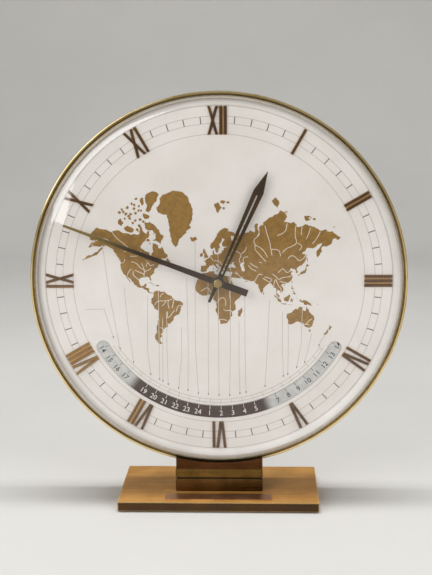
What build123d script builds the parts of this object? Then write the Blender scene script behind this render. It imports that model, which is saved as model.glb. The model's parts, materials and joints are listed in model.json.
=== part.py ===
from build123d import *
from math import atan2, cos, degrees, hypot, radians, sin, sqrt
import os

# Table clock with a world-time dial on a stepped brass foot, in millimetres.
# +X is to the right as the dial is read, +Y to the back, +Z up.
# The origin is the centre of the foot's underside.

# Fits and clearances
FIT = 0.05            # radial clearance of a turning fit
END_PLAY = 0.1        # axial clearance of a turning fit
SLACK = 0.3           # clearance between pieces that pass each other
SEAT = 0.1            # radial clearance of a piece dropped into a seat
OVER = 1.0            # how far a cutter runs past the face it enters by

# Foot
SLAB_W = 139.0
SLAB_D = 80.0
SLAB_T = 6.6
FELT_T = 0.8
FELT_INSET = 3.0
BLOCK_W = 61.3
BLOCK_D = 32.4
LOWER_T = 9.1
UPPER_T = 7.1
GROOVE = 0.7          # height and depth of the shadow groove between the two blocks
EDGE = 0.4            # chamfer on the edges of slab and blocks
NAME_W = 74.0
NAME_D = 12.0
NAME_T = 0.6
NAME_SETBACK = 5.2    # from the slab's front edge
SADDLE_END = 13.0     # Y of its back face
SADDLE_LIP = 1.4      # how far its front lip covers the bezel ring
FOOT_SCREW_X = 15.0
FOOT_SCREW_Y = 6.0
FOOT_SCREW_R = 2.0
FOOT_HEAD_R = 3.6
FOOT_HEAD_T = 3.0
FOOT_SLOT_W = 1.0
FOOT_SLOT_DEPTH = 0.8
NUT_W = 42.0
NUT_D = 8.5
NUT_T = 6.0

# Case
BEZEL_R = 130.0
BEZEL_WALL = 2.0
BEZEL_FACE = 2.8      # width of the bright ring seen from the front
BEZEL_STEP = 0.8      # part of that width that lies deeper, next to the glass
BEZEL_STEP_T = 0.6
BEZEL_LIP_T = 0.9
BEZEL_SKIRT = 10.0    # length of the ring
BEZEL_NOSE = 0.5      # rounding of the ring's front edges
CASE_LIFT = 3.1       # from the upper block to the bezel ring
BAND_WALL = 2.0
LEDGE_W = 4.0
LEDGE_T = 1.8
REAR_LEDGE_W = 8.0
REAR_LEDGE_T = 2.4
PAD_L = 19.0          # pads inside the band that carry the bridge plate
PAD_W = 18.0
PAD_ROOT = 1.0        # from the band's outside to the root of a pad
RING_W = 6.8          # of the sloping ring as it shows inside the bezel
RING_DEPTH = 2.7      # from the dial to the glass rim
RING_FLANGE_T = 1.6
RING_TOE = 0.3        # upright edge at the sloping ring's foot
GLASS_RIM_T = 1.5
GLASS_T = 1.8
GLASS_SIDE = 7.65     # from the rim's back to where the side would meet the crown
GLASS_CROWN_R = 1200.0
GLASS_CORNER_R = 7.8
COVER_T = 1.5
COVER_SCREWS = 3
COVER_SCREW_R = 1.0
COVER_HEAD_R = 2.2
COVER_HEAD_T = 1.2
SLOT_SHARE = 0.3      # width of a screw's slot as a share of its head's radius

# Dial
DIAL_Y = -7.9         # front face of the dial
DIAL_T = 1.0
DIAL_HOLE_R = 3.2
WINDOW_H = 10.3       # height of the curved window
WINDOW_EDGE = 1.5     # from the window to the numerals
WINDOW_HALF = 59.6    # degrees from straight down to the centre of each rounded end
WINDOW_BEVEL = 0.75   # sloping edge pressed into the dial round the window
NUMERAL_H = 19.3
NUMERAL_EDGE = 0.6    # from the numerals to the sloping ring
STROKE_W = 2.1
STROKE_WALL = 0.7     # upright part of a stroke's side
STROKE_ROOF = 0.7     # bevelled part above it
STROKE_TAPER = 30.0
WEB_T = 0.15          # foil that joins the strokes of one numeral
FOIL_EDGE = 0.4       # from the numeral's ends to that foil
FOIL_H = 1.2          # height of the foil at the heads of V and X
LETTER_GAP = 0.1
PIN_R = 0.45
V_PIN_SHARE = 0.1     # height of the pin of a V as a share of the numeral's
ADVANCE = {"I": 3.2, "V": 7.5, "X": 7.7}
NUMERALS = ["I", "II", "III", "IV", "V", "VI", "VII", "VIII", "IX", "X", "XI", "XII"]
HOUR_STEP = 360 / len(NUMERALS)

# 24-hour disc behind the dial
DISC_GAP = 0.5
DISC_T = 0.8
DISC_MARGIN = 2.5     # beyond the window's outer edge
DISC_BOSS_R = 4.2
DISC_FLANGE_R = 7.0
DISC_FLANGE_T = 1.0

# Hands, in the order from the dial
HOUR_ANGLE = 24.2     # degrees clockwise from twelve
MINUTE_ANGLE = 290.5
HAND_T = 0.6
HOUR_LIFT = 4.1       # from the dial to the hand's back
HOUR_SHORT = 5.6      # from the hand's tip to the window
HOUR_POINT_L = 15.0   # from its widest place to the tip
HOUR_WIDEST = 7.3
HOUR_ROOT_W = 3.8
HOUR_TAIL_L = 15.7
HOUR_TAIL_W = 1.9
HOUR_SLOT_W = 0.9
HOUR_SLOT_FROM = 6.0
HOUR_SLOT_END = 2.9   # from the slot to the widest place
HOUR_BOSS_R = 4.0
HOUR_SHOULDER = 3.0   # where the hand begins to widen, inside its boss
HOUR_BOSS_T = 1.0
MINUTE_LIFT = 7.4
MINUTE_SHORT = 7.4    # from the hand's tip to the sloping ring
MINUTE_ROOT_W = 4.3
MINUTE_TIP_W = 1.7
MINUTE_TAIL_L = 21.5
MINUTE_TAIL_W = 4.8
MINUTE_BOSS_R = 4.0
MINUTE_BOSS_RIM = 0.2   # how far the boss stands in front of the hand
TIP_W = 0.3
CAP_R = 3.0
CAP_T = 4.8
CAP_ROUND = 0.9

# Teeth: half width at the root, at the pitch circle and at the tip as shares of the pitch,
# then the root's depth and the tip's height in modules
WHEEL_TOOTH = (0.18, 0.18, 0.08, 1.15, 0.80)
PINION_TOOTH = (0.153, 0.17, 0.075, 1.2, 0.85)
TOOTH_BULGE = 0.62      # weight of the pitch circle's width halfway up to the tip

# Wheels: teeth and modules of each mesh, and the layers they lie in
LAYER_T = 1.0
LAYER_GAP = 0.4
MOTION_MODULE = 0.5
CANNON_TEETH = 12
MINUTE_WHEEL_TEETH = 36
HOUR_MODULE = 0.48
MINUTE_PINION_TEETH = 10
HOUR_WHEEL_TEETH = 40
HOUR_PINION_TEETH = 12
IDLER_TEETH = 36
IDLER_PINION_TEETH = 16
DISC_WHEEL_TEETH = 32
SETTING_TEETH = 12
TRAIN_MODULE = 0.3
CENTRE_TEETH = 64
LEAF_TEETH = 8
THIRD_TEETH = 60
INDEX_TEETH = 15
INDEX_R = 4.35
INDEX_ROOT_R = 3.3
INDEX_TIP_SHARE = 0.16  # flat tip of a pointed tooth as a share of the pitch
TRAIN_WHEEL_T = 0.8
TRAIN_FIRST = 0.9       # from the bridge plate to the centre wheel
TRAIN_STEP = 1.2        # free depth between one train wheel and the next
LEAF_OVERLAP = 0.2      # a pinion is longer than the wheel it meets by this
ARBOR_R = 1.2
PIPE_R = 2.2
STUD_R = 1.0
STUD_SHOULDER_R = 1.5
TRAIN_ARBOR_R = 0.6
PIVOT_R = 0.3
PIVOT_L = 0.7
IDLER_ANGLE = 180.0     # directions from the dial centre, counter-clockwise from the right
MINUTE_WHEEL_ANGLE = 0.0
SETTING_ANGLE = 0.0
THIRD_ANGLE = 135.0
INDEX_ANGLE = 90.0
BALANCE_ANGLE = 0.0

# Movement plates
BRIDGE_T = 1.5
PLATE_MARGIN = 8.0      # of the plates beyond the outermost wheels
BRIDGE_ARM_H = 16.0
BRIDGE_SCREW_R = 1.5
BRIDGE_SCREW_L = 2.8    # below the bridge plate's front
BRIDGE_HEAD_R = 2.8
BRIDGE_HEAD_T = 1.8
BACK_PLATE_T = 1.2
PILLAR_R = 2.0
PILLAR_L = 7.5
PILLAR_INSET = 4.0
COVER_SPACE = 1.8       # from the back plate to the back cover

# Balance, hairspring, regulator and drive coil
BALANCE_R = 5.8
BALANCE_RIM_W = 0.8
BALANCE_T = 1.0
BALANCE_ARM_W = 1.2
BALANCE_ARM_T = 0.6
BALANCE_LIFT = 1.1      # from the bridge plate to the rim
ROLLER_R = 1.2          # the finger's collar on the staff
BALANCE_TO_INDEX = 7.0
FINGER_GAP = 0.25       # from the balance's finger to the tips of the index wheel
FINGER_W = 0.6
SPRING_IN_R = 1.0
SPRING_OUT_R = 4.2
SPRING_TURNS = 5
SPRING_W = 0.12
SPRING_T = 0.4
SPRING_STUD_R = 0.48
REGULATOR_BOSS_R = 1.5
REGULATOR_RING_R = 2.9
REGULATOR_ARM_L = 12.0
REGULATOR_ARM_W = 1.6
REGULATOR_T = 0.8
REGULATOR_PIN_R = 0.9
REGULATOR_SWING = 25.0
COIL_R = 4.0
COIL_CORE_R = 1.4
COIL_CHEEK_T = 0.6
COIL_L = 4.0
COIL_ANGLE = 20.0

# Setting knob
KNOB_R = 7.5
KNOB_T = 8.0
KNOB_FLUTES = 24
KNOB_FLUTE_R = 0.5
KNOB_BORE_L = 6.0

# Battery, its holder and the door
CELL_R = 7.1
CELL_L = 49.2
CELL_NUB_R = 2.6
CELL_NUB_L = 1.0
CELL_DROP = 58.0        # of the cell below the dial centre
SPRING_L = 8.6          # contact spring
SPRING_WIRE_R = 0.35
SPRING_COIL_R = 3.6
SPRING_COIL_PITCH = 2.0
CONTACT_T = 0.6
HOLDER_WALL = 1.2
CELL_SIDE_GAP = 1.2     # above and below the cell in its tray
CELL_DEPTH_GAP = 0.8    # half the free depth of the tray
CONTACT_MARGIN = 3.0
DOOR_T = 1.2
DOOR_MARGIN = 4.0
DOOR_SCREW_R = 1.5
DOOR_HEAD_R = 3.6
DOOR_HEAD_T = 1.2
DOOR_END_R = 12.0       # radius of the door's end about its screw
DOOR_GRIP_W = 3.0
DOOR_GRIP_T = 1.2

# Heights, from the ground up
SLAB_TOP = FELT_T + SLAB_T
LOWER_TOP = SLAB_TOP + LOWER_T
UPPER_TOP = LOWER_TOP + UPPER_T
CENTRE_Z = UPPER_TOP + CASE_LIFT + BEZEL_R

# Radii of the case, from the outside in
BAND_R = BEZEL_R - BEZEL_WALL
BAND_IN_R = BAND_R - BAND_WALL
LEDGE_IN_R = BAND_IN_R - LEDGE_W
REAR_LEDGE_IN_R = BAND_IN_R - REAR_LEDGE_W
LIP_R = BEZEL_R - BEZEL_FACE
RING_FOOT_R = LIP_R - RING_W
NUMERAL_OUT_R = RING_FOOT_R - NUMERAL_EDGE
NUMERAL_IN_R = NUMERAL_OUT_R - NUMERAL_H
WINDOW_OUT_R = NUMERAL_IN_R - WINDOW_EDGE
WINDOW_IN_R = WINDOW_OUT_R - WINDOW_H
HOUR_L = WINDOW_IN_R - HOUR_SHORT
HOUR_WIDEST_AT = HOUR_L - HOUR_POINT_L
HOUR_SLOT_TO = HOUR_WIDEST_AT - HOUR_SLOT_END
MINUTE_L = RING_FOOT_R - MINUTE_SHORT
GLASS_R = BAND_R - SEAT
DIAL_R = BAND_IN_R - SEAT
DISC_R = WINDOW_OUT_R + DISC_MARGIN
PAD_IN_X = BAND_R - PAD_ROOT - PAD_L
BRIDGE_SCREW_X = PAD_IN_X + PAD_L / 2


def crown_sag(radius):
    """How far the glass's crown has fallen back at that radius."""
    return GLASS_CROWN_R - sqrt(GLASS_CROWN_R ** 2 - radius ** 2)


# Depths, from the dial to the front
RIM_Y = DIAL_Y - RING_DEPTH
BAND_FRONT = RIM_Y + RING_FLANGE_T
LIP_Y = RIM_Y - GLASS_RIM_T
BEZEL_FRONT = LIP_Y - BEZEL_LIP_T
GLASS_TOP = RIM_Y - GLASS_SIDE - crown_sag(LIP_R - SEAT)
HOUR_BACK = DIAL_Y - HOUR_LIFT
HOUR_FRONT = HOUR_BACK - HAND_T
MINUTE_BACK = DIAL_Y - MINUTE_LIFT
MINUTE_FRONT = MINUTE_BACK - HAND_T
BOSS_FRONT = MINUTE_FRONT - MINUTE_BOSS_RIM
CAP_FRONT = BOSS_FRONT - CAP_T
ARBOR_FRONT = CAP_FRONT + 2 * CAP_ROUND

# Depths, from the dial to the back
DIAL_BACK = DIAL_Y + DIAL_T
DISC_FRONT = DIAL_BACK + DISC_GAP
DISC_BACK = DISC_FRONT + DISC_T
LAYER_FRONT = DISC_BACK + DISC_FLANGE_T


def layer(k):
    front = LAYER_FRONT + k * (LAYER_T + LAYER_GAP)
    return front, front + LAYER_T


BRIDGE_Y = layer(3)[1] + LAYER_GAP
TRAIN_Y = BRIDGE_Y + BRIDGE_T
BACK_PLATE_Y = TRAIN_Y + PILLAR_L
BACK_PLATE_END = BACK_PLATE_Y + BACK_PLATE_T
COVER_Y = BACK_PLATE_END + COVER_SPACE
COVER_END = COVER_Y + COVER_T
CENTRE_WHEEL_Y = TRAIN_Y + TRAIN_FIRST
THIRD_WHEEL_Y = CENTRE_WHEEL_Y + TRAIN_WHEEL_T + TRAIN_STEP
INDEX_WHEEL_Y = THIRD_WHEEL_Y + TRAIN_WHEEL_T + TRAIN_STEP
SPRING_Y = INDEX_WHEEL_Y + TRAIN_WHEEL_T + SLACK
BALANCE_Y = TRAIN_Y + BALANCE_LIFT
DOOR_Y = COVER_END + SLACK
KNOB_Y = COVER_END + 2 * SLACK


def polar(length, angle, start=(0.0, 0.0)):
    return start[0] + length * cos(radians(angle)), start[1] + length * sin(radians(angle))


def centres(teeth_a, teeth_b, module):
    return (teeth_a + teeth_b) * module / 2


# Places of the arbors in the dial plane: right and up from the dial centre
DIAL_AXIS = (0.0, 0.0)
MINUTE_WHEEL_AT = polar(centres(CANNON_TEETH, MINUTE_WHEEL_TEETH, MOTION_MODULE), MINUTE_WHEEL_ANGLE)
IDLER_AT = polar(centres(HOUR_PINION_TEETH, IDLER_TEETH, MOTION_MODULE), IDLER_ANGLE)
SETTING_AT = polar(centres(MINUTE_WHEEL_TEETH, SETTING_TEETH, MOTION_MODULE), SETTING_ANGLE, MINUTE_WHEEL_AT)
THIRD_AT = polar(centres(CENTRE_TEETH, LEAF_TEETH, TRAIN_MODULE), THIRD_ANGLE)
INDEX_AT = polar(centres(THIRD_TEETH, LEAF_TEETH, TRAIN_MODULE), INDEX_ANGLE, THIRD_AT)
BALANCE_AT = polar(BALANCE_TO_INDEX, BALANCE_ANGLE, INDEX_AT)
COIL_AT = polar(BALANCE_R + COIL_R + 2 * SLACK, COIL_ANGLE, BALANCE_AT)
CELL_AT = (0.0, -CELL_DROP)

# Every round thing between the movement's plates, as its place and radius
ROUNDS = [
    (DIAL_AXIS, CENTRE_TEETH * TRAIN_MODULE / 2),
    (THIRD_AT, THIRD_TEETH * TRAIN_MODULE / 2),
    (INDEX_AT, INDEX_R),
    (BALANCE_AT, BALANCE_R),
    (COIL_AT, COIL_R),
    (SETTING_AT, SETTING_TEETH * MOTION_MODULE / 2),
]
PLATE_LEFT = min(at[0] - r for at, r in ROUNDS) - PLATE_MARGIN
PLATE_RIGHT = max(at[0] + r for at, r in ROUNDS) + PLATE_MARGIN
PLATE_LOW = min(at[1] - r for at, r in ROUNDS) - PLATE_MARGIN
PLATE_HIGH = max(at[1] + r for at, r in ROUNDS) + PLATE_MARGIN
FINGER_L = BALANCE_TO_INDEX - INDEX_R - FINGER_GAP

# The battery bay
BAY_L = CONTACT_T + CELL_NUB_L + CELL_L + SPRING_L
BAY_H = 2 * (CELL_R + CELL_SIDE_GAP)
BAY_Y = COVER_Y - 2 * (CELL_R + CELL_DEPTH_GAP)
CELL_Y = BAY_Y + CELL_R + SEAT
DOOR_PIVOT = (-BAY_L / 2 - DOOR_MARGIN - DOOR_HEAD_R, -CELL_DROP)


def disc(radius, y_front, y_back, at=DIAL_AXIS):
    """A round plate or rod along the dial's axis, placed in the dial plane."""
    rod = Cylinder(radius, y_back - y_front)
    return Pos(at[0], (y_front + y_back) / 2, CENTRE_Z + at[1]) * Rot(90, 0, 0) * rod


def hole(radius, y_front, y_back, at=DIAL_AXIS):
    """A round cutter that runs past both faces."""
    return disc(radius, y_front - OVER, y_back + OVER, at)


def tube(radius, bore, y_front, y_back, at=DIAL_AXIS):
    return disc(radius, y_front, y_back, at) - hole(bore, y_front, y_back, at)


def slab(width, height, y_front, y_back, at=DIAL_AXIS):
    """A box in the dial plane."""
    return Pos(at[0], (y_front + y_back) / 2, CENTRE_Z + at[1]) * Box(width, y_back - y_front, height)


def common(a, b):
    """What two solids share, as one part."""
    return Part() + a.intersect(b)


def sheet(face, y_front, y_back):
    """A flat outline of the dial plane, thickened from y_front to y_back."""
    solid = extrude(face, y_back - y_front)
    return Pos(0, y_back, CENTRE_Z) * Rot(90, 0, 0) * solid


def outline(points):
    return make_face(Polyline(*points, close=True))


def turned(points):
    """A ring or bowl turned about the dial's axis from points of radius and depth."""
    return Pos(0, 0, CENTRE_Z) * revolve(outline(points), axis=Axis.Y)


def block(width, depth, z_low, z_high, y=0.0, chamfered=True):
    solid = Pos(0, y, (z_low + z_high) / 2) * Box(width, depth, z_high - z_low)
    if chamfered:
        solid = chamfer(solid.edges(), EDGE)
    return solid


def foot_holes(radius):
    rods = []
    for x in (-FOOT_SCREW_X, FOOT_SCREW_X):
        rods.append(Pos(x, FOOT_SCREW_Y, 0) * Cylinder(radius, 2 * CENTRE_Z))
    return rods[0] + rods[1]


# Foot
def felt_pad():
    width = SLAB_W - 2 * FELT_INSET
    depth = SLAB_D - 2 * FELT_INSET
    return block(width, depth, 0, FELT_T, chamfered=False)


def base_slab():
    solid = block(SLAB_W, SLAB_D, FELT_T, SLAB_TOP)
    solid -= foot_holes(FOOT_SCREW_R + FIT)
    sinks = foot_holes(FOOT_HEAD_R + SEAT)
    return solid - common(sinks, block(SLAB_W, SLAB_D, 0, FELT_T + FOOT_HEAD_T + SEAT, chamfered=False))


def name_plate():
    y = -SLAB_D / 2 + NAME_SETBACK + NAME_D / 2
    return block(NAME_W, NAME_D, SLAB_TOP, SLAB_TOP + NAME_T, y, chamfered=False)


def lower_block():
    return block(BLOCK_W, BLOCK_D, SLAB_TOP, LOWER_TOP) - foot_holes(FOOT_SCREW_R + FIT)


def upper_block():
    tongue_w = BLOCK_W - 2 * GROOVE
    tongue_d = BLOCK_D - 2 * GROOVE
    tongue = block(tongue_w, tongue_d, LOWER_TOP, LOWER_TOP + GROOVE, chamfered=False)
    body = block(BLOCK_W, BLOCK_D, LOWER_TOP + GROOVE, UPPER_TOP)
    return tongue + body - foot_holes(FOOT_SCREW_R + FIT)


def saddle():
    """The cradle that the round case sits in, with a lip in front of the bezel ring."""
    width = BLOCK_W - 2 * EDGE
    front = -BLOCK_D / 2 + EDGE
    lip_r = BEZEL_R - SADDLE_LIP
    top = CENTRE_Z - sqrt(lip_r ** 2 - (width / 2) ** 2)
    body = block(width, SADDLE_END - front, UPPER_TOP, top, (front + SADDLE_END) / 2, chamfered=False)
    ring_front = BEZEL_FRONT - SLACK
    ring_back = BEZEL_FRONT + BEZEL_SKIRT + SLACK
    body -= disc(lip_r, front - OVER, ring_front)
    body -= disc(BEZEL_R + SEAT, ring_front, ring_back)
    body -= disc(BAND_R, ring_back, SADDLE_END + OVER)
    return body - foot_holes(FOOT_SCREW_R + FIT)


def foot_screw(x):
    y = FOOT_SCREW_Y
    head_top = FELT_T + SEAT + FOOT_HEAD_T
    end = CENTRE_Z - BAND_IN_R + NUT_T
    head = Pos(x, y, head_top - FOOT_HEAD_T / 2) * Cylinder(FOOT_HEAD_R, FOOT_HEAD_T)
    shank = Pos(x, y, (head_top + end) / 2) * Cylinder(FOOT_SCREW_R, end - head_top)
    drive = Pos(x, y, head_top - FOOT_HEAD_T) * Box(2 * FOOT_HEAD_R, FOOT_SLOT_W, 2 * FOOT_SLOT_DEPTH)
    return head + shank - drive


def nut_plate():
    """The curved strip inside the case that the two foot screws pull on."""
    y_front = FOOT_SCREW_Y - NUT_D / 2
    floor = BAND_IN_R - NUT_T
    strip = slab(NUT_W, 2 * NUT_T, y_front, y_front + NUT_D, (0, -floor - NUT_T))
    strip = common(strip, hole(BAND_IN_R, y_front, y_front + NUT_D))
    return strip - foot_holes(FOOT_SCREW_R + FIT)


# Case
def case_band():
    ledge_front = DIAL_BACK
    ledge_back = DIAL_BACK + LEDGE_T
    rear_front = COVER_Y - REAR_LEDGE_T
    profile = [
        (BAND_R, BAND_FRONT), (BAND_R, COVER_END), (BAND_IN_R, COVER_END), (BAND_IN_R, COVER_Y),
        (REAR_LEDGE_IN_R, COVER_Y), (REAR_LEDGE_IN_R, rear_front), (BAND_IN_R, rear_front),
        (BAND_IN_R, ledge_back), (LEDGE_IN_R, ledge_back), (LEDGE_IN_R, ledge_front),
        (BAND_IN_R, ledge_front), (BAND_IN_R, BAND_FRONT),
    ]
    band = turned(profile)
    for side in (-1, 1):
        pad = slab(PAD_L, PAD_W, ledge_front, BRIDGE_Y, (side * (PAD_IN_X + PAD_L / 2), 0))
        band += common(pad, hole(BAND_R, ledge_front, BRIDGE_Y))
        bottom = BRIDGE_Y - BRIDGE_SCREW_L - SLACK
        band -= disc(BRIDGE_SCREW_R + FIT, bottom, BRIDGE_Y + OVER, (side * BRIDGE_SCREW_X, 0))
    for at in cover_screw_places():
        band -= hole(COVER_SCREW_R + FIT, rear_front, COVER_Y, at)
    return band - common(foot_holes(FOOT_SCREW_R + FIT), case_floor())


def case_floor():
    """The lowest part of the case, where the foot screws pass."""
    return slab(NUT_W, BAND_R, BAND_FRONT, COVER_END, (0, -BAND_R))


def bezel_ring():
    bore = BAND_R + FIT
    step_y = BEZEL_FRONT + BEZEL_STEP_T
    back = BEZEL_FRONT + BEZEL_SKIRT
    shoulder = LIP_R + BEZEL_STEP
    profile = [
        (bore, back), (BEZEL_R, back), (BEZEL_R, BEZEL_FRONT), (shoulder, BEZEL_FRONT),
        (shoulder, step_y), (LIP_R, step_y), (LIP_R, LIP_Y), (bore, LIP_Y),
    ]
    ring = turned(profile)
    front = ring.edges().group_by(Axis.Y)[0]
    return fillet(front, BEZEL_NOSE)


def dome(radius, top, corner):
    """A closed cap with a nearly flat crown and a rounded corner, open side at the rim."""
    sag = crown_sag(radius)
    crown = ThreePointArc((0, top), (radius / 2, top + sag / 4), (radius, top + sag))
    wall = Polyline((radius, top + sag), (radius, RIM_Y), (0, RIM_Y), (0, top))
    profile = make_face(crown + wall)
    edge = profile.vertices().sort_by(Axis.Y).sort_by(lambda v: hypot(v.X - radius, v.Y - top - sag))[0]
    profile = fillet(edge, corner)
    return Pos(0, 0, CENTRE_Z) * revolve(profile, axis=Axis.Y)


def glass_dome():
    outer_r = LIP_R - SEAT
    shell = dome(outer_r, GLASS_TOP, GLASS_CORNER_R)
    shell -= dome(outer_r - GLASS_T, GLASS_TOP + GLASS_T, GLASS_CORNER_R - GLASS_T)
    rim = tube(GLASS_R, outer_r - GLASS_T, LIP_Y, RIM_Y)
    return shell + rim


def inner_ring():
    """The pale sloping ring between the dial's edge and the glass."""
    foot = DIAL_Y
    inner_glass = LIP_R - SEAT - GLASS_T
    profile = [
        (RING_FOOT_R, foot), (RING_FOOT_R, foot - RING_TOE), (inner_glass, RIM_Y), (GLASS_R, RIM_Y),
        (GLASS_R, BAND_FRONT), (DIAL_R, BAND_FRONT), (DIAL_R, foot),
    ]
    return turned(profile)


def cover_screw_places():
    r = (REAR_LEDGE_IN_R + BAND_IN_R) / 2
    return [polar(r, 90 + 360 / COVER_SCREWS * i) for i in range(COVER_SCREWS)]


def back_cover():
    cover = disc(BAND_IN_R - SEAT, COVER_Y, COVER_END)
    cover -= slab(BAY_L, BAY_H, COVER_Y - OVER, COVER_END + OVER, CELL_AT)
    cover -= hole(ARBOR_R + SLACK, COVER_Y, COVER_END, SETTING_AT)
    cover -= hole(DOOR_SCREW_R + FIT, COVER_Y, COVER_END, DOOR_PIVOT)
    for at in cover_screw_places():
        cover -= hole(COVER_SCREW_R + FIT, COVER_Y, COVER_END, at)
    half = REGULATOR_PIN_R + SLACK
    front = COVER_Y - OVER
    return cover - arc_slot(BALANCE_AT, REGULATOR_ARM_L, half, 90, REGULATOR_SWING, front, COVER_END + OVER)


def arc_slot(at, radius, half_width, middle, half_angle, y_front, y_back):
    """A slot with round ends that follows a circle about at, in the dial plane."""
    ring = tube(radius + half_width, radius - half_width, y_front, y_back, at)
    reach = 2 * (radius + half_width)
    wedge_points = [at]
    for k in range(-4, 5):
        wedge_points.append(polar(reach, middle + half_angle * k / 4, at))
    slot = common(ring, sheet(outline(wedge_points), y_front, y_back))
    for side in (-1, 1):
        slot += disc(half_width, y_front, y_back, polar(radius, middle + side * half_angle, at))
    return slot


def slotted_screw(radius, head_r, head_t, y_front, y_seat, at):
    """A cheese-head screw that goes in from the back."""
    screw = disc(radius, y_front, y_seat, at) + disc(head_r, y_seat, y_seat + head_t, at)
    bottom = y_seat + head_t / 2
    return screw - slab(2 * head_r + OVER, head_r * SLOT_SHARE, bottom, y_seat + head_t + OVER, at)


def cover_screw(at):
    return slotted_screw(COVER_SCREW_R, COVER_HEAD_R, COVER_HEAD_T, COVER_Y - REAR_LEDGE_T, COVER_END, at)


# Dial
def glyph_strokes(letter, left):
    """Strokes of one letter as (foot, head) positions across, from the letter's left edge."""
    half = STROKE_W / 2
    mid = left + ADVANCE[letter] / 2
    near = left + half + LETTER_GAP
    far = left + ADVANCE[letter] - half - LETTER_GAP
    if letter == "I":
        return [(mid, mid)]
    if letter == "V":
        return [(mid - half / 2, near), (mid + half / 2, far)]
    return [(near, far), (far, near)]


def glyph_pins(letter, left):
    mid = left + ADVANCE[letter] / 2
    if letter == "V":
        return [(mid, NUMERAL_H * V_PIN_SHARE)]
    return [(mid, NUMERAL_H / 2)]


def numeral_layout(word):
    width = sum(ADVANCE[letter] for letter in word)
    strokes = []
    pins = []
    left = -width / 2
    for letter in word:
        strokes.append(glyph_strokes(letter, left))
        pins += glyph_pins(letter, left)
        left += ADVANCE[letter]
    return strokes, pins


def on_dial(solid, angle):
    """Turn a piece made at twelve o'clock clockwise to its place on the dial."""
    return Pos(0, 0, CENTRE_Z) * Rot(0, angle, 0) * Pos(0, 0, -CENTRE_Z) * solid


def bevelled(face):
    base = extrude(face, STROKE_WALL)
    top = Pos(0, 0, STROKE_WALL) * extrude(face, STROKE_ROOF, taper=STROKE_TAPER)
    return base + top


def numeral(index):
    """An applied numeral that stands on the dial with its feet to the centre."""
    word = NUMERALS[index]
    strokes, pins = numeral_layout(word)
    half = STROKE_W / 2
    solid = None
    for letter in strokes:
        for foot, head in letter:
            low_edge = [(foot - half, 0), (foot + half, 0)]
            face = outline(low_edge + [(head + half, NUMERAL_H), (head - half, NUMERAL_H)])
            bar = bevelled(face)
            solid = bar if solid is None else solid + bar
    for k in range(len(word) - 1):
        solid += joining_foil(word[k], strokes[k], word[k + 1], strokes[k + 1])
    solid = Pos(0, NUMERAL_IN_R, 0) * solid
    for s, t in pins:
        solid += Pos(s, NUMERAL_IN_R + t, -DIAL_T / 2) * Cylinder(PIN_R, DIAL_T)
    return on_dial(Pos(0, DIAL_Y, CENTRE_Z) * Rot(90, 0, 0) * solid, HOUR_STEP * (index + 1))


def joining_foil(letter_a, strokes_a, letter_b, strokes_b):
    """Thin foil at the foot of two neighbouring letters that makes one numeral of them."""
    top = NUMERAL_H - FOIL_EDGE
    if letter_a == "I" and letter_b == "I":
        x_a = strokes_a[0][0]
        x_b = strokes_b[0][0]
        foil = [(x_a, FOIL_EDGE), (x_b, FOIL_EDGE), (x_b, top), (x_a, top)]
        return extrude(outline(foil), WEB_T)
    head_a = max(head for foot, head in strokes_a)
    head_b = min(head for foot, head in strokes_b)
    low = top - FOIL_H
    return extrude(outline([(head_a, low), (head_b, low), (head_b, top), (head_a, top)]), WEB_T)


def dial_plate():
    middle = (WINDOW_IN_R + WINDOW_OUT_R) / 2
    half = (WINDOW_OUT_R - WINDOW_IN_R) / 2 - WINDOW_BEVEL
    window = arc_slot(DIAL_AXIS, middle, half, -90, WINDOW_HALF, DIAL_Y - OVER, DIAL_BACK + OVER)
    plate = disc(DIAL_R, DIAL_Y, DIAL_BACK) - window
    front_edges = plate.edges().group_by(Axis.Y)[0].sort_by(SortBy.LENGTH)
    plate = chamfer(front_edges[:-1], WINDOW_BEVEL)
    plate -= hole(DIAL_HOLE_R, DIAL_Y, DIAL_BACK)
    for index in range(len(NUMERALS)):
        strokes, pins = numeral_layout(NUMERALS[index])
        for s, t in pins:
            pin_hole = hole(PIN_R + FIT, DIAL_Y, DIAL_BACK, (s, NUMERAL_IN_R + t))
            plate -= on_dial(pin_hole, HOUR_STEP * (index + 1))
    return plate


# Wheels
def gear_face(teeth, module, phase, pinion=False):
    """Outline of a clock wheel or pinion; phase is the direction of one tooth's middle."""
    pitch_r = teeth * module / 2
    pitch = 360 / teeth
    root_side, side, crown, root, head = PINION_TOOTH if pinion else WHEEL_TOOTH
    middle = side * TOOTH_BULGE + crown * (1 - TOOTH_BULGE)
    rising = [
        (pitch_r - root * module, -root_side), (pitch_r, -side),
        (pitch_r + head * module / 2, -middle), (pitch_r + head * module, -crown),
    ]
    falling = [(r, -w) for r, w in reversed(rising)]
    points = []
    for i in range(teeth):
        for r, w in rising + falling:
            points.append(polar(r, phase + (i + w) * pitch))
    return outline(points)


def gear(teeth, module, phase, y_front, y_back, at=DIAL_AXIS, pinion=False):
    return Pos(at[0], 0, at[1]) * sheet(gear_face(teeth, module, phase, pinion), y_front, y_back)


def direction(a, b):
    return degrees(atan2(b[1] - a[1], b[0] - a[0]))


def meshed_phase(teeth_a, phase_a, at_a, teeth_b, at_b):
    """Phase of wheel b so that its gap faces a tooth of wheel a at rest."""
    line = direction(at_a, at_b)
    return line + 180 - (phase_a - line) * teeth_a / teeth_b + 180 / teeth_b


def cap_nut():
    nut = disc(CAP_R, CAP_FRONT, BOSS_FRONT)
    nut = fillet(nut.edges().group_by(Axis.Y)[0], CAP_ROUND)
    return nut - disc(ARBOR_R, ARBOR_FRONT, BOSS_FRONT + OVER)


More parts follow.
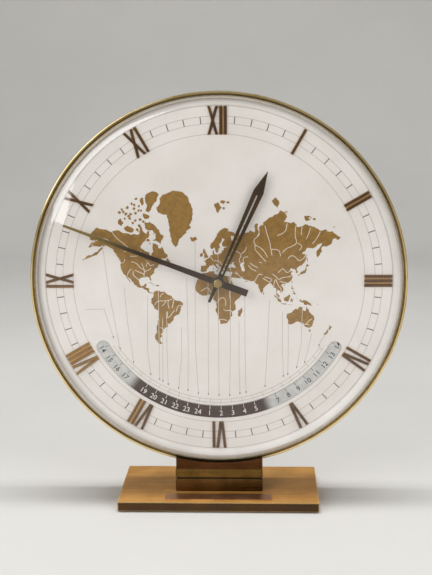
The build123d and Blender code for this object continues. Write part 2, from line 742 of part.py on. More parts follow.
def minute_hand():
    root = MINUTE_ROOT_W / 2
    tip = MINUTE_TIP_W / 2
    tail = MINUTE_TAIL_W / 2
    shape = outline([
        (-tail, -MINUTE_TAIL_L), (tail, -MINUTE_TAIL_L), (tail, -MINUTE_BOSS_R), (root, MINUTE_BOSS_R),
        (tip, MINUTE_L), (-tip, MINUTE_L), (-root, MINUTE_BOSS_R), (-tail, -MINUTE_BOSS_R),
    ])
    hand = sheet(shape, MINUTE_FRONT, MINUTE_BACK)
    hand += disc(MINUTE_BOSS_R, BOSS_FRONT, HOUR_FRONT - 2 * SLACK)
    hand -= disc(ARBOR_R, BOSS_FRONT - OVER, DIAL_Y)
    return on_dial(hand, MINUTE_ANGLE)


def minute_arbor():
    """The centre arbor with its cannon pinion and the centre wheel of the train."""
    arbor = disc(ARBOR_R, ARBOR_FRONT, BACK_PLATE_END)
    front, back = layer(3)
    phase = direction(DIAL_AXIS, MINUTE_WHEEL_AT)
    arbor += gear(CANNON_TEETH, MOTION_MODULE, phase, layer(2)[1] + END_PLAY, back, pinion=True)
    phase = direction(DIAL_AXIS, THIRD_AT)
    arbor += gear(CENTRE_TEETH, TRAIN_MODULE, phase, CENTRE_WHEEL_Y, CENTRE_WHEEL_Y + TRAIN_WHEEL_T)
    return arbor


def hour_hand():
    root = HOUR_ROOT_W / 2
    widest = HOUR_WIDEST / 2
    tail = HOUR_TAIL_W / 2
    shape = outline([
        (-tail, -HOUR_TAIL_L), (tail, -HOUR_TAIL_L), (root, HOUR_SHOULDER), (widest, HOUR_WIDEST_AT),
        (TIP_W / 2, HOUR_L), (-TIP_W / 2, HOUR_L), (-widest, HOUR_WIDEST_AT), (-root, HOUR_SHOULDER),
    ])
    half = HOUR_SLOT_W / 2
    near = [(-half, HOUR_SLOT_FROM), (half, HOUR_SLOT_FROM)]
    slot = outline(near + [(half, HOUR_SLOT_TO), (-half, HOUR_SLOT_TO)])
    hand = sheet(shape, HOUR_FRONT, HOUR_BACK) - sheet(slot, HOUR_FRONT - OVER, HOUR_BACK + OVER)
    hand += disc(HOUR_BOSS_R, HOUR_FRONT, HOUR_BACK + HOUR_BOSS_T)
    hand -= disc(PIPE_R, HOUR_FRONT - OVER, DIAL_Y)
    return on_dial(hand, HOUR_ANGLE)


def hour_wheel():
    """The hour wheel, its pipe and the pinion that drives the 24-hour disc."""
    front, back = layer(2)
    tooth = minute_pinion_phase()
    phase = meshed_phase(MINUTE_PINION_TEETH, tooth, MINUTE_WHEEL_AT, HOUR_WHEEL_TEETH, DIAL_AXIS)
    wheel = gear(HOUR_WHEEL_TEETH, HOUR_MODULE, phase, front, back)
    pinion_front = layer(0)[1] + END_PLAY
    phase = direction(DIAL_AXIS, IDLER_AT)
    wheel += gear(HOUR_PINION_TEETH, MOTION_MODULE, phase, pinion_front, front, pinion=True)
    wheel += disc(PIPE_R, HOUR_FRONT, back)
    return wheel - hole(ARBOR_R + FIT, HOUR_FRONT, back)


def minute_pinion_phase():
    return direction(MINUTE_WHEEL_AT, DIAL_AXIS)


def minute_wheel_phase():
    phase = direction(DIAL_AXIS, MINUTE_WHEEL_AT)
    return meshed_phase(CANNON_TEETH, phase, DIAL_AXIS, MINUTE_WHEEL_TEETH, MINUTE_WHEEL_AT)


def minute_wheel():
    at = MINUTE_WHEEL_AT
    front, back = layer(3)
    pinion_front = layer(2)[0]
    phase = minute_pinion_phase()
    wheel = gear(MINUTE_WHEEL_TEETH, MOTION_MODULE, minute_wheel_phase(), front, back, at)
    wheel += gear(MINUTE_PINION_TEETH, HOUR_MODULE, phase, pinion_front, front, at, pinion=True)
    return wheel - hole(STUD_R + FIT, pinion_front, back, at)


def world_idler():
    """Wheel and pinion between the hour wheel and the 24-hour disc."""
    at = IDLER_AT
    front, back = layer(1)
    phase = direction(DIAL_AXIS, IDLER_AT)
    wheel_phase = meshed_phase(HOUR_PINION_TEETH, phase, DIAL_AXIS, IDLER_TEETH, at)
    wheel = gear(IDLER_TEETH, MOTION_MODULE, wheel_phase, front, back, at)
    pinion_phase = direction(at, DIAL_AXIS)
    wheel += gear(IDLER_PINION_TEETH, MOTION_MODULE, pinion_phase, layer(0)[0], front, at, pinion=True)
    return wheel - hole(STUD_R + FIT, layer(0)[0], back, at)


def world_wheel():
    """The wheel that carries the 24-hour disc on a flange."""
    front, back = layer(0)
    pinion_phase = direction(IDLER_AT, DIAL_AXIS)
    phase = meshed_phase(IDLER_PINION_TEETH, pinion_phase, IDLER_AT, DISC_WHEEL_TEETH, DIAL_AXIS)
    wheel = gear(DISC_WHEEL_TEETH, MOTION_MODULE, phase, front, back)
    wheel += disc(DISC_FLANGE_R, DISC_BACK, front)
    wheel += disc(DISC_BOSS_R, DISC_FRONT, DISC_BACK)
    return wheel - hole(PIPE_R + FIT, DISC_FRONT, back)


def world_disc():
    return tube(DISC_R, DISC_BOSS_R, DISC_FRONT, DISC_BACK)


def train_arbor(at, y_front, y_back):
    """A thin arbor between the plates with a pivot at each end."""
    arbor = disc(TRAIN_ARBOR_R, y_front + END_PLAY, y_back - END_PLAY, at)
    return arbor + disc(PIVOT_R, y_front - PIVOT_L, y_back + PIVOT_L, at)


def third_pinion_phase():
    return meshed_phase(CENTRE_TEETH, direction(DIAL_AXIS, THIRD_AT), DIAL_AXIS, LEAF_TEETH, THIRD_AT)


def third_wheel():
    at = THIRD_AT
    wheel = train_arbor(at, TRAIN_Y, BACK_PLATE_Y)
    front = CENTRE_WHEEL_Y - LEAF_OVERLAP
    wheel += gear(LEAF_TEETH, TRAIN_MODULE, third_pinion_phase(), front, THIRD_WHEEL_Y, at, pinion=True)
    phase = direction(THIRD_AT, INDEX_AT)
    wheel += gear(THIRD_TEETH, TRAIN_MODULE, phase, THIRD_WHEEL_Y, THIRD_WHEEL_Y + TRAIN_WHEEL_T, at)
    return wheel


def index_wheel():
    """The last arbor of the train, with the pointed wheel that the balance drives."""
    at = INDEX_AT
    wheel = train_arbor(at, TRAIN_Y, BACK_PLATE_Y)
    phase = meshed_phase(THIRD_TEETH, direction(THIRD_AT, INDEX_AT), THIRD_AT, LEAF_TEETH, INDEX_AT)
    leaves_from = THIRD_WHEEL_Y - LEAF_OVERLAP
    wheel += gear(LEAF_TEETH, TRAIN_MODULE, phase, leaves_from, INDEX_WHEEL_Y, at, pinion=True)
    pitch = 360 / INDEX_TEETH
    points = []
    for i in range(INDEX_TEETH):
        points.append(polar(INDEX_ROOT_R, i * pitch))
        points.append(polar(INDEX_R, (i + 0.5 - INDEX_TIP_SHARE / 2) * pitch))
        points.append(polar(INDEX_R, (i + 0.5 + INDEX_TIP_SHARE / 2) * pitch))
    star = sheet(outline(points), INDEX_WHEEL_Y, INDEX_WHEEL_Y + TRAIN_WHEEL_T)
    return wheel + Pos(at[0], 0, at[1]) * star


def balance_wheel():
    at = BALANCE_AT
    wheel = train_arbor(at, TRAIN_Y, BACK_PLATE_Y)
    wheel += tube(BALANCE_R, BALANCE_R - BALANCE_RIM_W, BALANCE_Y, BALANCE_Y + BALANCE_T, at)
    reach = 2 * BALANCE_R - BALANCE_RIM_W
    arm_y = BALANCE_Y + (BALANCE_T - BALANCE_ARM_T) / 2
    wheel += slab(reach, BALANCE_ARM_W, arm_y, arm_y + BALANCE_ARM_T, at)
    wheel += disc(ROLLER_R, INDEX_WHEEL_Y, INDEX_WHEEL_Y + TRAIN_WHEEL_T, at)
    finger_at = polar(FINGER_L / 2, direction(BALANCE_AT, INDEX_AT), at)
    return wheel + slab(FINGER_L, FINGER_W, INDEX_WHEEL_Y, INDEX_WHEEL_Y + TRAIN_WHEEL_T, finger_at)


def hairspring():
    """A flat spiral about the balance's staff, held by a stud under the back plate."""
    steps = 20
    inner = []
    outer = []
    for k in range(SPRING_TURNS * steps + 1):
        share = k / (SPRING_TURNS * steps)
        r = SPRING_IN_R + (SPRING_OUT_R - SPRING_IN_R) * share
        angle = 90 + 360 * SPRING_TURNS * share
        inner.append(polar(r - SPRING_W / 2, angle, BALANCE_AT))
        outer.append(polar(r + SPRING_W / 2, angle, BALANCE_AT))
    coil = sheet(outline(inner + outer[::-1]), SPRING_Y, SPRING_Y + SPRING_T)
    stud = disc(SPRING_STUD_R, SPRING_Y, BACK_PLATE_Y, polar(SPRING_OUT_R, 90, BALANCE_AT))
    return coil + stud


def regulator_lever():
    at = BALANCE_AT
    y = BACK_PLATE_END + END_PLAY
    tip = polar(REGULATOR_ARM_L, 90, at)
    lever = disc(REGULATOR_RING_R, y, y + REGULATOR_T, at)
    lever += slab(REGULATOR_ARM_W, REGULATOR_ARM_L, y, y + REGULATOR_T, (at[0], at[1] + REGULATOR_ARM_L / 2))
    lever += disc(REGULATOR_PIN_R, y, COVER_END + REGULATOR_T, tip)
    return lever - hole(REGULATOR_BOSS_R + FIT, y, y + REGULATOR_T, at)


def drive_coil():
    at = COIL_AT
    y = TRAIN_Y
    coil = disc(COIL_R, y, y + COIL_CHEEK_T, at)
    coil += disc(COIL_R, y + COIL_L - COIL_CHEEK_T, y + COIL_L, at)
    coil += disc(COIL_R - SLACK, y, y + COIL_L, at)
    return coil - disc(COIL_CORE_R, y + COIL_L / 2, y + COIL_L + OVER, at)


# Plates
def pillar_places():
    top = PLATE_HIGH - PILLAR_INSET
    low = PLATE_LOW + PILLAR_INSET
    middle = (PLATE_LEFT + PLATE_RIGHT) / 2
    return [(PLATE_LEFT + PILLAR_INSET, top), (PLATE_RIGHT - PILLAR_INSET, top), (middle, low)]


def pivot_holes(y_front, y_back):
    holes = disc(PIVOT_R + FIT, y_front, y_back, THIRD_AT)
    holes += disc(PIVOT_R + FIT, y_front, y_back, INDEX_AT)
    holes += disc(PIVOT_R + FIT, y_front, y_back, BALANCE_AT)
    holes += disc(ARBOR_R + FIT, y_front, y_back)
    return holes + disc(ARBOR_R + FIT, y_front, y_back, SETTING_AT)


def plate_blank(y_front, y_back):
    middle = ((PLATE_LEFT + PLATE_RIGHT) / 2, (PLATE_LOW + PLATE_HIGH) / 2)
    return slab(PLATE_RIGHT - PLATE_LEFT, PLATE_HIGH - PLATE_LOW, y_front, y_back, middle)


def bridge_plate():
    """The plate across the case that carries the movement, with the studs of the loose wheels."""
    end = BRIDGE_Y + BRIDGE_T
    plate = plate_blank(BRIDGE_Y, end)
    arms = slab(2 * (PAD_IN_X + PAD_L), BRIDGE_ARM_H, BRIDGE_Y, end)
    plate += common(arms, hole(BAND_IN_R - SEAT, BRIDGE_Y, end))
    plate -= pivot_holes(BRIDGE_Y - OVER, end + OVER)
    for side in (-1, 1):
        plate -= hole(BRIDGE_SCREW_R + FIT, BRIDGE_Y, end, (side * BRIDGE_SCREW_X, 0))
    plate += disc(STUD_SHOULDER_R, layer(1)[1] + END_PLAY, BRIDGE_Y, IDLER_AT)
    plate += disc(STUD_R, layer(0)[0] - SLACK, BRIDGE_Y, IDLER_AT)
    plate += disc(STUD_SHOULDER_R, layer(3)[1] + END_PLAY, BRIDGE_Y, MINUTE_WHEEL_AT)
    return plate + disc(STUD_R, layer(2)[0] - SLACK, BRIDGE_Y, MINUTE_WHEEL_AT)


def back_plate():
    plate = plate_blank(BACK_PLATE_Y, BACK_PLATE_END)
    plate -= pivot_holes(BACK_PLATE_Y - OVER, BACK_PLATE_END + OVER)
    boss_end = BACK_PLATE_END + 2 * END_PLAY + REGULATOR_T
    return plate + tube(REGULATOR_BOSS_R, PIVOT_R + FIT, BACK_PLATE_END, boss_end, BALANCE_AT)


def pillar(at):
    return disc(PILLAR_R, TRAIN_Y, BACK_PLATE_Y, at)


def bridge_screw(side):
    at = (side * BRIDGE_SCREW_X, 0)
    tip = BRIDGE_Y - BRIDGE_SCREW_L
    return slotted_screw(BRIDGE_SCREW_R, BRIDGE_HEAD_R, BRIDGE_HEAD_T, tip, TRAIN_Y, at)


# Setting knob
def setting_arbor():
    front, back = layer(3)
    at = SETTING_AT
    phase = meshed_phase(MINUTE_WHEEL_TEETH, minute_wheel_phase(), MINUTE_WHEEL_AT, SETTING_TEETH, at)
    arbor = gear(SETTING_TEETH, MOTION_MODULE, phase, front, back, at, pinion=True)
    return arbor + disc(ARBOR_R, front, KNOB_Y + KNOB_BORE_L, at)


def setting_knob():
    at = SETTING_AT
    knob = disc(KNOB_R, KNOB_Y, KNOB_Y + KNOB_T, at)
    knob = chamfer(knob.edges().group_by(Axis.Y)[-1], 2 * EDGE)
    for i in range(KNOB_FLUTES):
        spot = polar(KNOB_R, 360 / KNOB_FLUTES * i, at)
        knob -= hole(KNOB_FLUTE_R, KNOB_Y, KNOB_Y + KNOB_T, spot)
    return knob - disc(ARBOR_R, KNOB_Y - OVER, KNOB_Y + KNOB_BORE_L, at)


# Battery
def battery_holder():
    """A tray behind the cover's opening, open to the back."""
    length = BAY_L + 2 * HOLDER_WALL
    height = BAY_H + 2 * HOLDER_WALL
    tray = slab(length, height, BAY_Y - HOLDER_WALL, COVER_Y, CELL_AT)
    return tray - slab(BAY_L, BAY_H, BAY_Y, COVER_Y + OVER, CELL_AT)


def lying_rod(radius, x_low, x_high):
    rod = Rot(0, 90, 0) * Cylinder(radius, x_high - x_low)
    return Pos((x_low + x_high) / 2, CELL_Y, CENTRE_Z - CELL_DROP) * rod


def battery_cell():
    nub_end = BAY_L / 2 - CONTACT_T
    shoulder = nub_end - CELL_NUB_L
    body = lying_rod(CELL_R, shoulder - CELL_L, shoulder)
    body = fillet(body.edges(), 2 * EDGE)
    return body + lying_rod(CELL_NUB_R, shoulder - OVER, nub_end)


def contact_plate():
    side = 2 * (CELL_NUB_R + CONTACT_MARGIN)
    at = (BAY_L / 2 - CONTACT_T / 2, -CELL_DROP)
    return slab(CONTACT_T, side, CELL_Y - side / 2, CELL_Y + side / 2, at)


def contact_spring():
    """A coil between the tray's end wall and the cell, with its wire in one piece."""
    length = SPRING_L - 2 * SPRING_WIRE_R - 2 * FIT
    path = Helix(SPRING_COIL_PITCH, length, SPRING_COIL_R)
    wire = sweep(Plane(origin=path @ 0, z_dir=path % 0) * Circle(SPRING_WIRE_R), path=path)
    start = -BAY_L / 2 + SPRING_WIRE_R + FIT
    return Pos(start, CELL_Y, CENTRE_Z - CELL_DROP) * Rot(0, 90, 0) * wire


def battery_door():
    """A flat door over the opening that swings aside about the screw at its left end."""
    y_front = DOOR_Y
    y_back = DOOR_Y + DOOR_T
    right = BAY_L / 2 + DOOR_MARGIN
    length = right - DOOR_PIVOT[0]
    door = slab(length, 2 * DOOR_END_R, y_front, y_back, ((right + DOOR_PIVOT[0]) / 2, -CELL_DROP))
    door += disc(DOOR_END_R, y_front, y_back, DOOR_PIVOT)
    door += disc(DOOR_HEAD_R, COVER_END + END_PLAY, y_front, DOOR_PIVOT)
    grip_at = (right - 2 * DOOR_GRIP_W, -CELL_DROP)
    door += slab(DOOR_GRIP_W, DOOR_END_R, y_back, y_back + DOOR_GRIP_T, grip_at)
    return door - hole(DOOR_SCREW_R + FIT, COVER_END, y_back, DOOR_PIVOT)


def door_screw():
    seat = DOOR_Y + DOOR_T + END_PLAY
    return slotted_screw(DOOR_SCREW_R, DOOR_HEAD_R, DOOR_HEAD_T, COVER_Y, seat, DOOR_PIVOT)


PARTS = {
    "felt_pad": felt_pad,
    "base_slab": base_slab,
    "name_plate": name_plate,
    "lower_block": lower_block,
    "upper_block": upper_block,
    "saddle": saddle,
    "nut_plate": nut_plate,
    "case_band": case_band,
    "bezel_ring": bezel_ring,
    "glass_dome": glass_dome,
    "inner_ring": inner_ring,
    "dial_plate": dial_plate,
    "back_cover": back_cover,
    "bridge_plate": bridge_plate,
    "back_plate": back_plate,
    "minute_hand": minute_hand,
    "minute_arbor": minute_arbor,
    "cap_nut": cap_nut,
    "hour_hand": hour_hand,
    "hour_wheel": hour_wheel,
    "minute_wheel": minute_wheel,
    "world_idler": world_idler,
    "world_wheel": world_wheel,
    "world_disc": world_disc,
    "third_wheel": third_wheel,
    "index_wheel": index_wheel,
    "balance_wheel": balance_wheel,
    "hairspring": hairspring,
    "regulator_lever": regulator_lever,
    "drive_coil": drive_coil,
    "setting_arbor": setting_arbor,
    "setting_knob": setting_knob,
    "battery_holder": battery_holder,
    "battery_cell": battery_cell,
    "contact_plate": contact_plate,
    "contact_spring": contact_spring,
    "battery_door": battery_door,
    "door_screw": door_screw,
}


def all_parts():
    made = {name: make() for name, make in PARTS.items()}
    for i, at in enumerate(cover_screw_places()):
        made[f"cover_screw_{i + 1}"] = cover_screw(at)
    for i, at in enumerate(pillar_places()):
        made[f"pillar_{i + 1}"] = pillar(at)
    for side, x in (("left", -1), ("right", 1)):
        made[f"foot_screw_{side}"] = foot_screw(x * FOOT_SCREW_X)
        made[f"bridge_screw_{side}"] = bridge_screw(x)
    for index in range(len(NUMERALS)):
        made[f"numeral_{index + 1:02d}"] = numeral(index)
    return made


os.makedirs("parts", exist_ok=True)
for name, solid in all_parts().items():
    export_step(solid, f"parts/{name}.step")
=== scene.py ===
# %% [markdown]
# # A brass table clock with a world map on its dial
#
# The clock's solids come from CAD and are loaded here as a fixed frame. Blender adds what CAD leaves
# out: the print on the dial, the numbers on the 24-hour disc, and the finish of every metal.
# Nothing is measured twice. The places of the new pieces are read from the frame, and the few
# sizes that are only ink are named where they are first used.

# %% Load the frame
import json
import math
import random

import bmesh
import bpy
from mathutils import Matrix, Vector


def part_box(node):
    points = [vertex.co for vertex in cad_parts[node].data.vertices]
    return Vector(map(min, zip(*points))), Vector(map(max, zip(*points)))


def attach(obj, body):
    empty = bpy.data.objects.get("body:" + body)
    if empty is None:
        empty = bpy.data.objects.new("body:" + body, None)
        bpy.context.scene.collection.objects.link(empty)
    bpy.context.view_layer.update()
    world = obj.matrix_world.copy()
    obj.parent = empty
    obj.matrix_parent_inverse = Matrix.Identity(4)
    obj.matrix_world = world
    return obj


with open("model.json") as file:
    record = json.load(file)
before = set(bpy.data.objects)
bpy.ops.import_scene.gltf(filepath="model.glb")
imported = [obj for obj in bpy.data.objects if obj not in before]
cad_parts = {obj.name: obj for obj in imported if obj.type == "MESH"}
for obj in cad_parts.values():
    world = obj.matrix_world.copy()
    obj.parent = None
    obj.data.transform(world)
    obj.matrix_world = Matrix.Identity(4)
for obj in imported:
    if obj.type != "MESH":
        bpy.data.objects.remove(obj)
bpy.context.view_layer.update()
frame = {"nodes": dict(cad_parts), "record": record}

MM = 0.001
nodes = frame["nodes"]

# %% [markdown]
# The dial is the heart of the clock, so its face gives the plane and the centre for all that is
# printed. Points on it are given as a watchmaker would: millimetres to the right of the centre,
# millimetres above it, and a depth. Angles run clockwise from twelve.

# %% The dial plane
dial_low, dial_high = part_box("dial_plate")
DIAL_FACE = dial_low.y / MM
CENTRE_UP = (dial_low.z + dial_high.z) / 2 / MM
DISC_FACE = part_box("world_disc")[0].y / MM
RING_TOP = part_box("inner_ring")[0].y / MM
LINE_W = 0.34         # the finest printed line; thinner ones would not show
INK = 0.03            # thickness of a printed layer


def on_dial(right, up, depth):
    return Vector((right, depth, CENTRE_UP + up)) * MM


def clock_point(radius, angle):
    return radius * math.sin(math.radians(angle)), radius * math.cos(math.radians(angle))


def arc(radius, start=0.0, end=360.0, step=1.0):
    """Points along a circle about the dial's centre; a whole circle leaves out its last point."""
    count = max(2, round(abs(end - start) / step))
    last = count if abs(end - start) >= 360 else count + 1
    return [clock_point(radius, start + (end - start) * i / count) for i in range(last)]


print("dial face at", round(DIAL_FACE, 2), "mm, centre", round(CENTRE_UP, 2), "mm above the ground")

# %% [markdown]
# Colours are given as on a screen, in sRGB, while the shaders work in linear light. One function
# does that step, so every colour below can be written as a hex code. A second one adds a node, and
# a third starts a material with a single shader on which plain values are set.

# %% Colours and nodes
def paint(code):
    """An sRGB hex code as the linear colour that a shader takes."""
    channels = [int(code[i:i + 2], 16) / 255 for i in (1, 3, 5)]
    return (*[c / 12.92 if c <= 0.04045 else ((c + 0.055) / 1.055) ** 2.4 for c in channels], 1.0)


def add(tree, kind, settings=None, inputs=None):
    """Add one node. Settings are its own choices; inputs are plain values or other nodes' outputs."""
    node = tree.nodes.new(kind)
    for name, value in (settings or {}).items():
        setattr(node, name, value)
    for name, value in (inputs or {}).items():
        if isinstance(value, bpy.types.NodeSocket):
            tree.links.new(value, node.inputs[name])
        else:
            node.inputs[name].default_value = value
    return node


def new_material(name, **values):
    material = bpy.data.materials.new(name)
    material.use_nodes = True
    tree = material.node_tree
    tree.nodes.clear()
    values = {name.replace("_", " "): value for name, value in values.items()}
    shader = add(tree, "ShaderNodeBsdfPrincipled", inputs=values)
    add(tree, "ShaderNodeOutputMaterial", inputs={"Surface": shader.outputs[0]})
    return material, tree, shader


def maths(tree, operation, *values):
    """One step of arithmetic on plain numbers or other nodes' outputs."""
    return add(tree, "ShaderNodeMath", {"operation": operation}, dict(enumerate(values))).outputs[0]


def blotches(tree, size, detail=3.0):
    """Noise whose blotches have this size in millimetres along X, Y and Z."""
    place = add(tree, "ShaderNodeTexCoord").outputs["Object"]
    scale = [1 / (s * MM) for s in size]
    spread = add(tree, "ShaderNodeMapping", inputs={"Vector": place, "Scale": scale})
    return add(tree, "ShaderNodeTexNoise", inputs={
        "Vector": spread.outputs[0], "Scale": 1.0, "Detail": detail, "Roughness": 0.55,
    }).outputs["Fac"]


def remap(tree, value, low, high, to_low=0.0, to_high=1.0):
    """A soft step from one value to another while the input goes from low to high."""
    return add(tree, "ShaderNodeMapRange", {"interpolation_type": "SMOOTHSTEP"}, {
        "Value": value, "From Min": low, "From Max": high, "To Min": to_low, "To Max": to_high,
    }).outputs[0]


def mixed(tree, share, first, second, way="MIX"):
    """Blend two colours. Each is a hex code or another node's output."""
    first, second = [paint(c) if isinstance(c, str) else c for c in (first, second)]
    blend = add(tree, "ShaderNodeMix", {"data_type": "RGBA", "blend_type": way, "clamp_factor": True}, {
        0: share, 6: first, 7: second,
    })
    return blend.outputs[2]


def bumped(tree, shader, height, depth_mm):
    relief = add(tree, "ShaderNodeBump", inputs={"Height": height, "Distance": depth_mm * MM})
    relief.inputs["Strength"].default_value = 1.0
    tree.links.new(relief.outputs[0], shader.inputs["Normal"])


def clouded(tree, value, first, second):
    """Two tones that take turns as a noise does."""
    return mixed(tree, remap(tree, value, 0.3, 0.7), first, second)


def dress(tree, shader, tone, grain, rough, spread, depth_mm):
    """Give a shader its tone, and a roughness and a fine relief that follow one grain."""
    least, most = rough * spread[0], min(1.0, rough * spread[1])
    tree.links.new(tone, shader.inputs["Base Color"])
    tree.links.new(remap(tree, grain, 0.3, 0.7, least, most), shader.inputs["Roughness"])
    bumped(tree, shader, grain, depth_mm)


def wear(tree, width_mm):
    """1 on sharp edges, 0 on flat metal: how far a rounded normal leans from the true one."""
    rounded = add(tree, "ShaderNodeBevel", {"samples": 4}, {"Radius": width_mm * MM}).outputs[0]
    true = add(tree, "ShaderNodeNewGeometry").outputs["Normal"]
    lean = add(tree, "ShaderNodeVectorMath", {"operation": "DOT_PRODUCT"}, {0: rounded, 1: true})
    return remap(tree, lean.outputs["Value"], 0.995, 0.9, 0.0, 1.0)


print("white", paint("#FFFFFF")[:3])

# %% [markdown]
# Brass is most of what the eye sees: rolled sheet for the foot, a turned tube for the case, stamped
# parts in the movement. All of it is the same alloy, so one function makes it, and the pieces
# differ in how it was worked. Brushing leaves long scratches along one axis; a lathe leaves rings
# about the dial's axis; age leaves soft brown stains and a brighter line where hands rub the edges.

# %% Brass
def ring_place(tree):
    """Object coordinates turned into distance from the dial's axis, depth and a slow angle."""
    place = add(tree, "ShaderNodeTexCoord").outputs["Object"]
    split = add(tree, "ShaderNodeSeparateXYZ", inputs={0: place})
    up = maths(tree, "SUBTRACT", split.outputs[2], CENTRE_UP * MM)
    flat = add(tree, "ShaderNodeCombineXYZ", inputs={0: split.outputs[0], 2: up})
    length = add(tree, "ShaderNodeVectorMath", {"operation": "LENGTH"}, {0: flat.outputs[0]})
    return length.outputs["Value"], split.outputs[1], maths(tree, "ARCTAN2", split.outputs[0], up)


def beside(tree, angle, degrees):
    """How near this angle of the dial is: 1 on it, -1 on the far side."""
    return maths(tree, "COSINE", maths(tree, "SUBTRACT", angle, math.radians(degrees)))


def scratches(tree, across_mm, along_mm, axis):
    """Brushing along X, Y or Z, or lathe rings where the axis is the dial's own."""
    if axis == "RING":
        radius, depth, _ = ring_place(tree)
        line = add(tree, "ShaderNodeCombineXYZ", inputs={0: radius, 1: depth})
        spread = add(tree, "ShaderNodeVectorMath", {"operation": "SCALE"}, {
            0: line.outputs[0], "Scale": 1 / (across_mm * MM),
        })
        return add(tree, "ShaderNodeTexNoise", inputs={
            "Vector": spread.outputs[0], "Scale": 1.0, "Detail": 2.0,
        }).outputs["Fac"]
    size = [across_mm] * 3
    size["XYZ".index(axis)] = along_mm
    return blotches(tree, size, 2.0)


def facing_front(tree):
    """1 on metal that looks out at the reader of the dial, 0 on its top and its sides."""
    normal = add(tree, "ShaderNodeNewGeometry").outputs["Normal"]
    outward = add(tree, "ShaderNodeSeparateXYZ", inputs={0: normal}).outputs[1]
    return remap(tree, outward, -0.9, -0.5, 1.0, 0.0)


def brass(name, bright, deep, rough, grain, axis="X", stain="#5A3E1C", stained=0.35, depth_mm=0.01,
          shade_and_tone=None, worn=0.5, metal=1.0):
    """Brass of two tones with its working marks, its stains and its rubbed edges.

    The shade_and_tone function, where a piece has one, darkens or lightens the tone by a rule of its
    own; most such rules are painted shade, painted reflection or painted highlight. Brushed metal
    under matt lacquer scatters part of the light like paint, which a metal share below 1 stands for.
    """
    material, tree, shader = new_material(name, Metallic=metal)
    across, along = grain
    lines = scratches(tree, across, along, axis)
    tone = clouded(tree, blotches(tree, (22, 22, 22)), bright, deep)
    tone = mixed(tree, remap(tree, lines, 0.35, 0.75, 0.0, 0.35), tone, deep)
    spots = remap(tree, blotches(tree, (2.6, 2.6, 2.6), 5.0), 0.60, 0.78, 0.0, stained)
    tone = mixed(tree, spots, tone, stain)
    if shade_and_tone:
        tone = shade_and_tone(tree, tone)
    tone = mixed(tree, remap(tree, wear(tree, 0.5), 0, 1, 0, worn), tone, "#FFE9B0")
    dress(tree, shader, tone, lines, rough, (0.8, 1.25), depth_mm)
    return material


print("brass is ready")

# %% [markdown]
# The visible metals. The foot is rolled brass brushed lengthwise and lacquered, with an ochre top.
# Its front face is multiplied olive brown, a painted shade for the dark room that it mirrors. The two
# blocks above it are redder and darker, painted shade under the case, and the seams at their feet
# get painted shade. The bezel is spun tube with a bright polish; the flat along the glass and its
# bottom are painted browner, a painted reflection and shade.

# %% Metals of the foot and case
# Painted shade: metal that faces the front is multiplied olive brown, for the dark room it mirrors.
def olive_front(tree, tone):
    return mixed(tree, facing_front(tree), tone, "#62583C", "MULTIPLY")


def brown_inside(tree, tone):
    # Painted reflection and shade: the flat along the glass is multiplied browner, and the bottom beside
    # the saddle browner still.
    radius, _, angle = ring_place(tree)
    tone = mixed(tree, remap(tree, radius, 128.3 * MM, 128.8 * MM, 1.0, 0.0), tone, "#6A5634", "MULTIPLY")
    foot = remap(tree, maths(tree, "COSINE", angle), -0.985, -0.95, 1.0, 0.0)
    return mixed(tree, foot, tone, "#6A4E34", "MULTIPLY")


def dark_below(tree, tone, height_mm):
    """Painted shade in the seam at a block's foot, up to this height."""
    place = add(tree, "ShaderNodeTexCoord").outputs["Object"]
    up = add(tree, "ShaderNodeSeparateXYZ", inputs={0: place}).outputs[2]
    seam = remap(tree, up, (height_mm - 0.1) * MM, (height_mm + 0.2) * MM, 1.0, 0.0)
    return mixed(tree, seam, tone, "#1E1208")


def upper_seam(tree, tone):
    return dark_below(tree, tone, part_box("lower_block")[1].z / MM + 0.7)


def lower_seam(tree, tone):
    return dark_below(tree, tone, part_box("base_slab")[1].z / MM + 0.6)


SLAB_BRASS = brass("brushed lacquered brass", "#C8944C", "#AE7E3C", 0.5, (0.9, 60.0), "X", depth_mm=0.02,
                   shade_and_tone=olive_front, metal=0.4)
# The blocks' darker, redder brass is painted shade under the case and painted reflection of the dark they
# face.
BLOCK_BRASS = brass("olive block brass with painted shade", "#7C5C2E", "#5A421E", 0.26, (1.1, 45.0), "X", "#3A2412",
                    shade_and_tone=upper_seam, worn=0.06)
LOWER_BRASS = brass("brown block brass with painted shade", "#7E6038", "#584222", 0.30, (1.1, 45.0), "X", "#3A2412",
                    shade_and_tone=lower_seam, worn=0.06)
# The saddle's dark red brown is painted shade under the bezel.
SADDLE_BRASS = brass("red saddle brass with painted shade", "#5E3A20", "#422812", 0.36, (1.1, 45.0), "X", "#2E180A", worn=0.06)
BEZEL_BRASS = brass("spun polished brass", "#FBE8B4", "#DEC284", 0.09, (1.4, 1.0), "RING", "#8A6A3A", 0.3,
                    shade_and_tone=brown_inside)
BAND_BRASS = brass("turned brass tube", "#E3C282", "#BF9850", 0.24, (1.2, 1.0), "RING", "#6E4A22")
COVER_BRASS = brass("spun brass sheet", "#D6B474", "#C6A262", 0.30, (1.6, 1.0), "RING", "#7A5A30", 0.25)
PLAQUE_COPPER = brass("browned copper sheet", "#E0B494", "#B88C6C", 0.42, (0.8, 30.0), "X", "#3A2014", 0.5)
print("foot and case:", len(bpy.data.materials), "finishes")

# %% [markdown]
# The numerals and hands are stamped brass that was bronzed brown, so they read dark against the
# white. On the numerals the slopes below the flat top are painted gold, a painted reflection of
# the polished sides, so each bar is dark between two golden slopes; round eight o'clock the tops
# are painted golden too, a painted highlight. The minute hand is lighter towards its tip. The cap
# nut stayed bright.
# The movement is hidden behind the dial, but its plates and wheels get their true finishes as well.

# %% Metals of the dial and movement
NUMERAL_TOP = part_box("numeral_12")[0].y


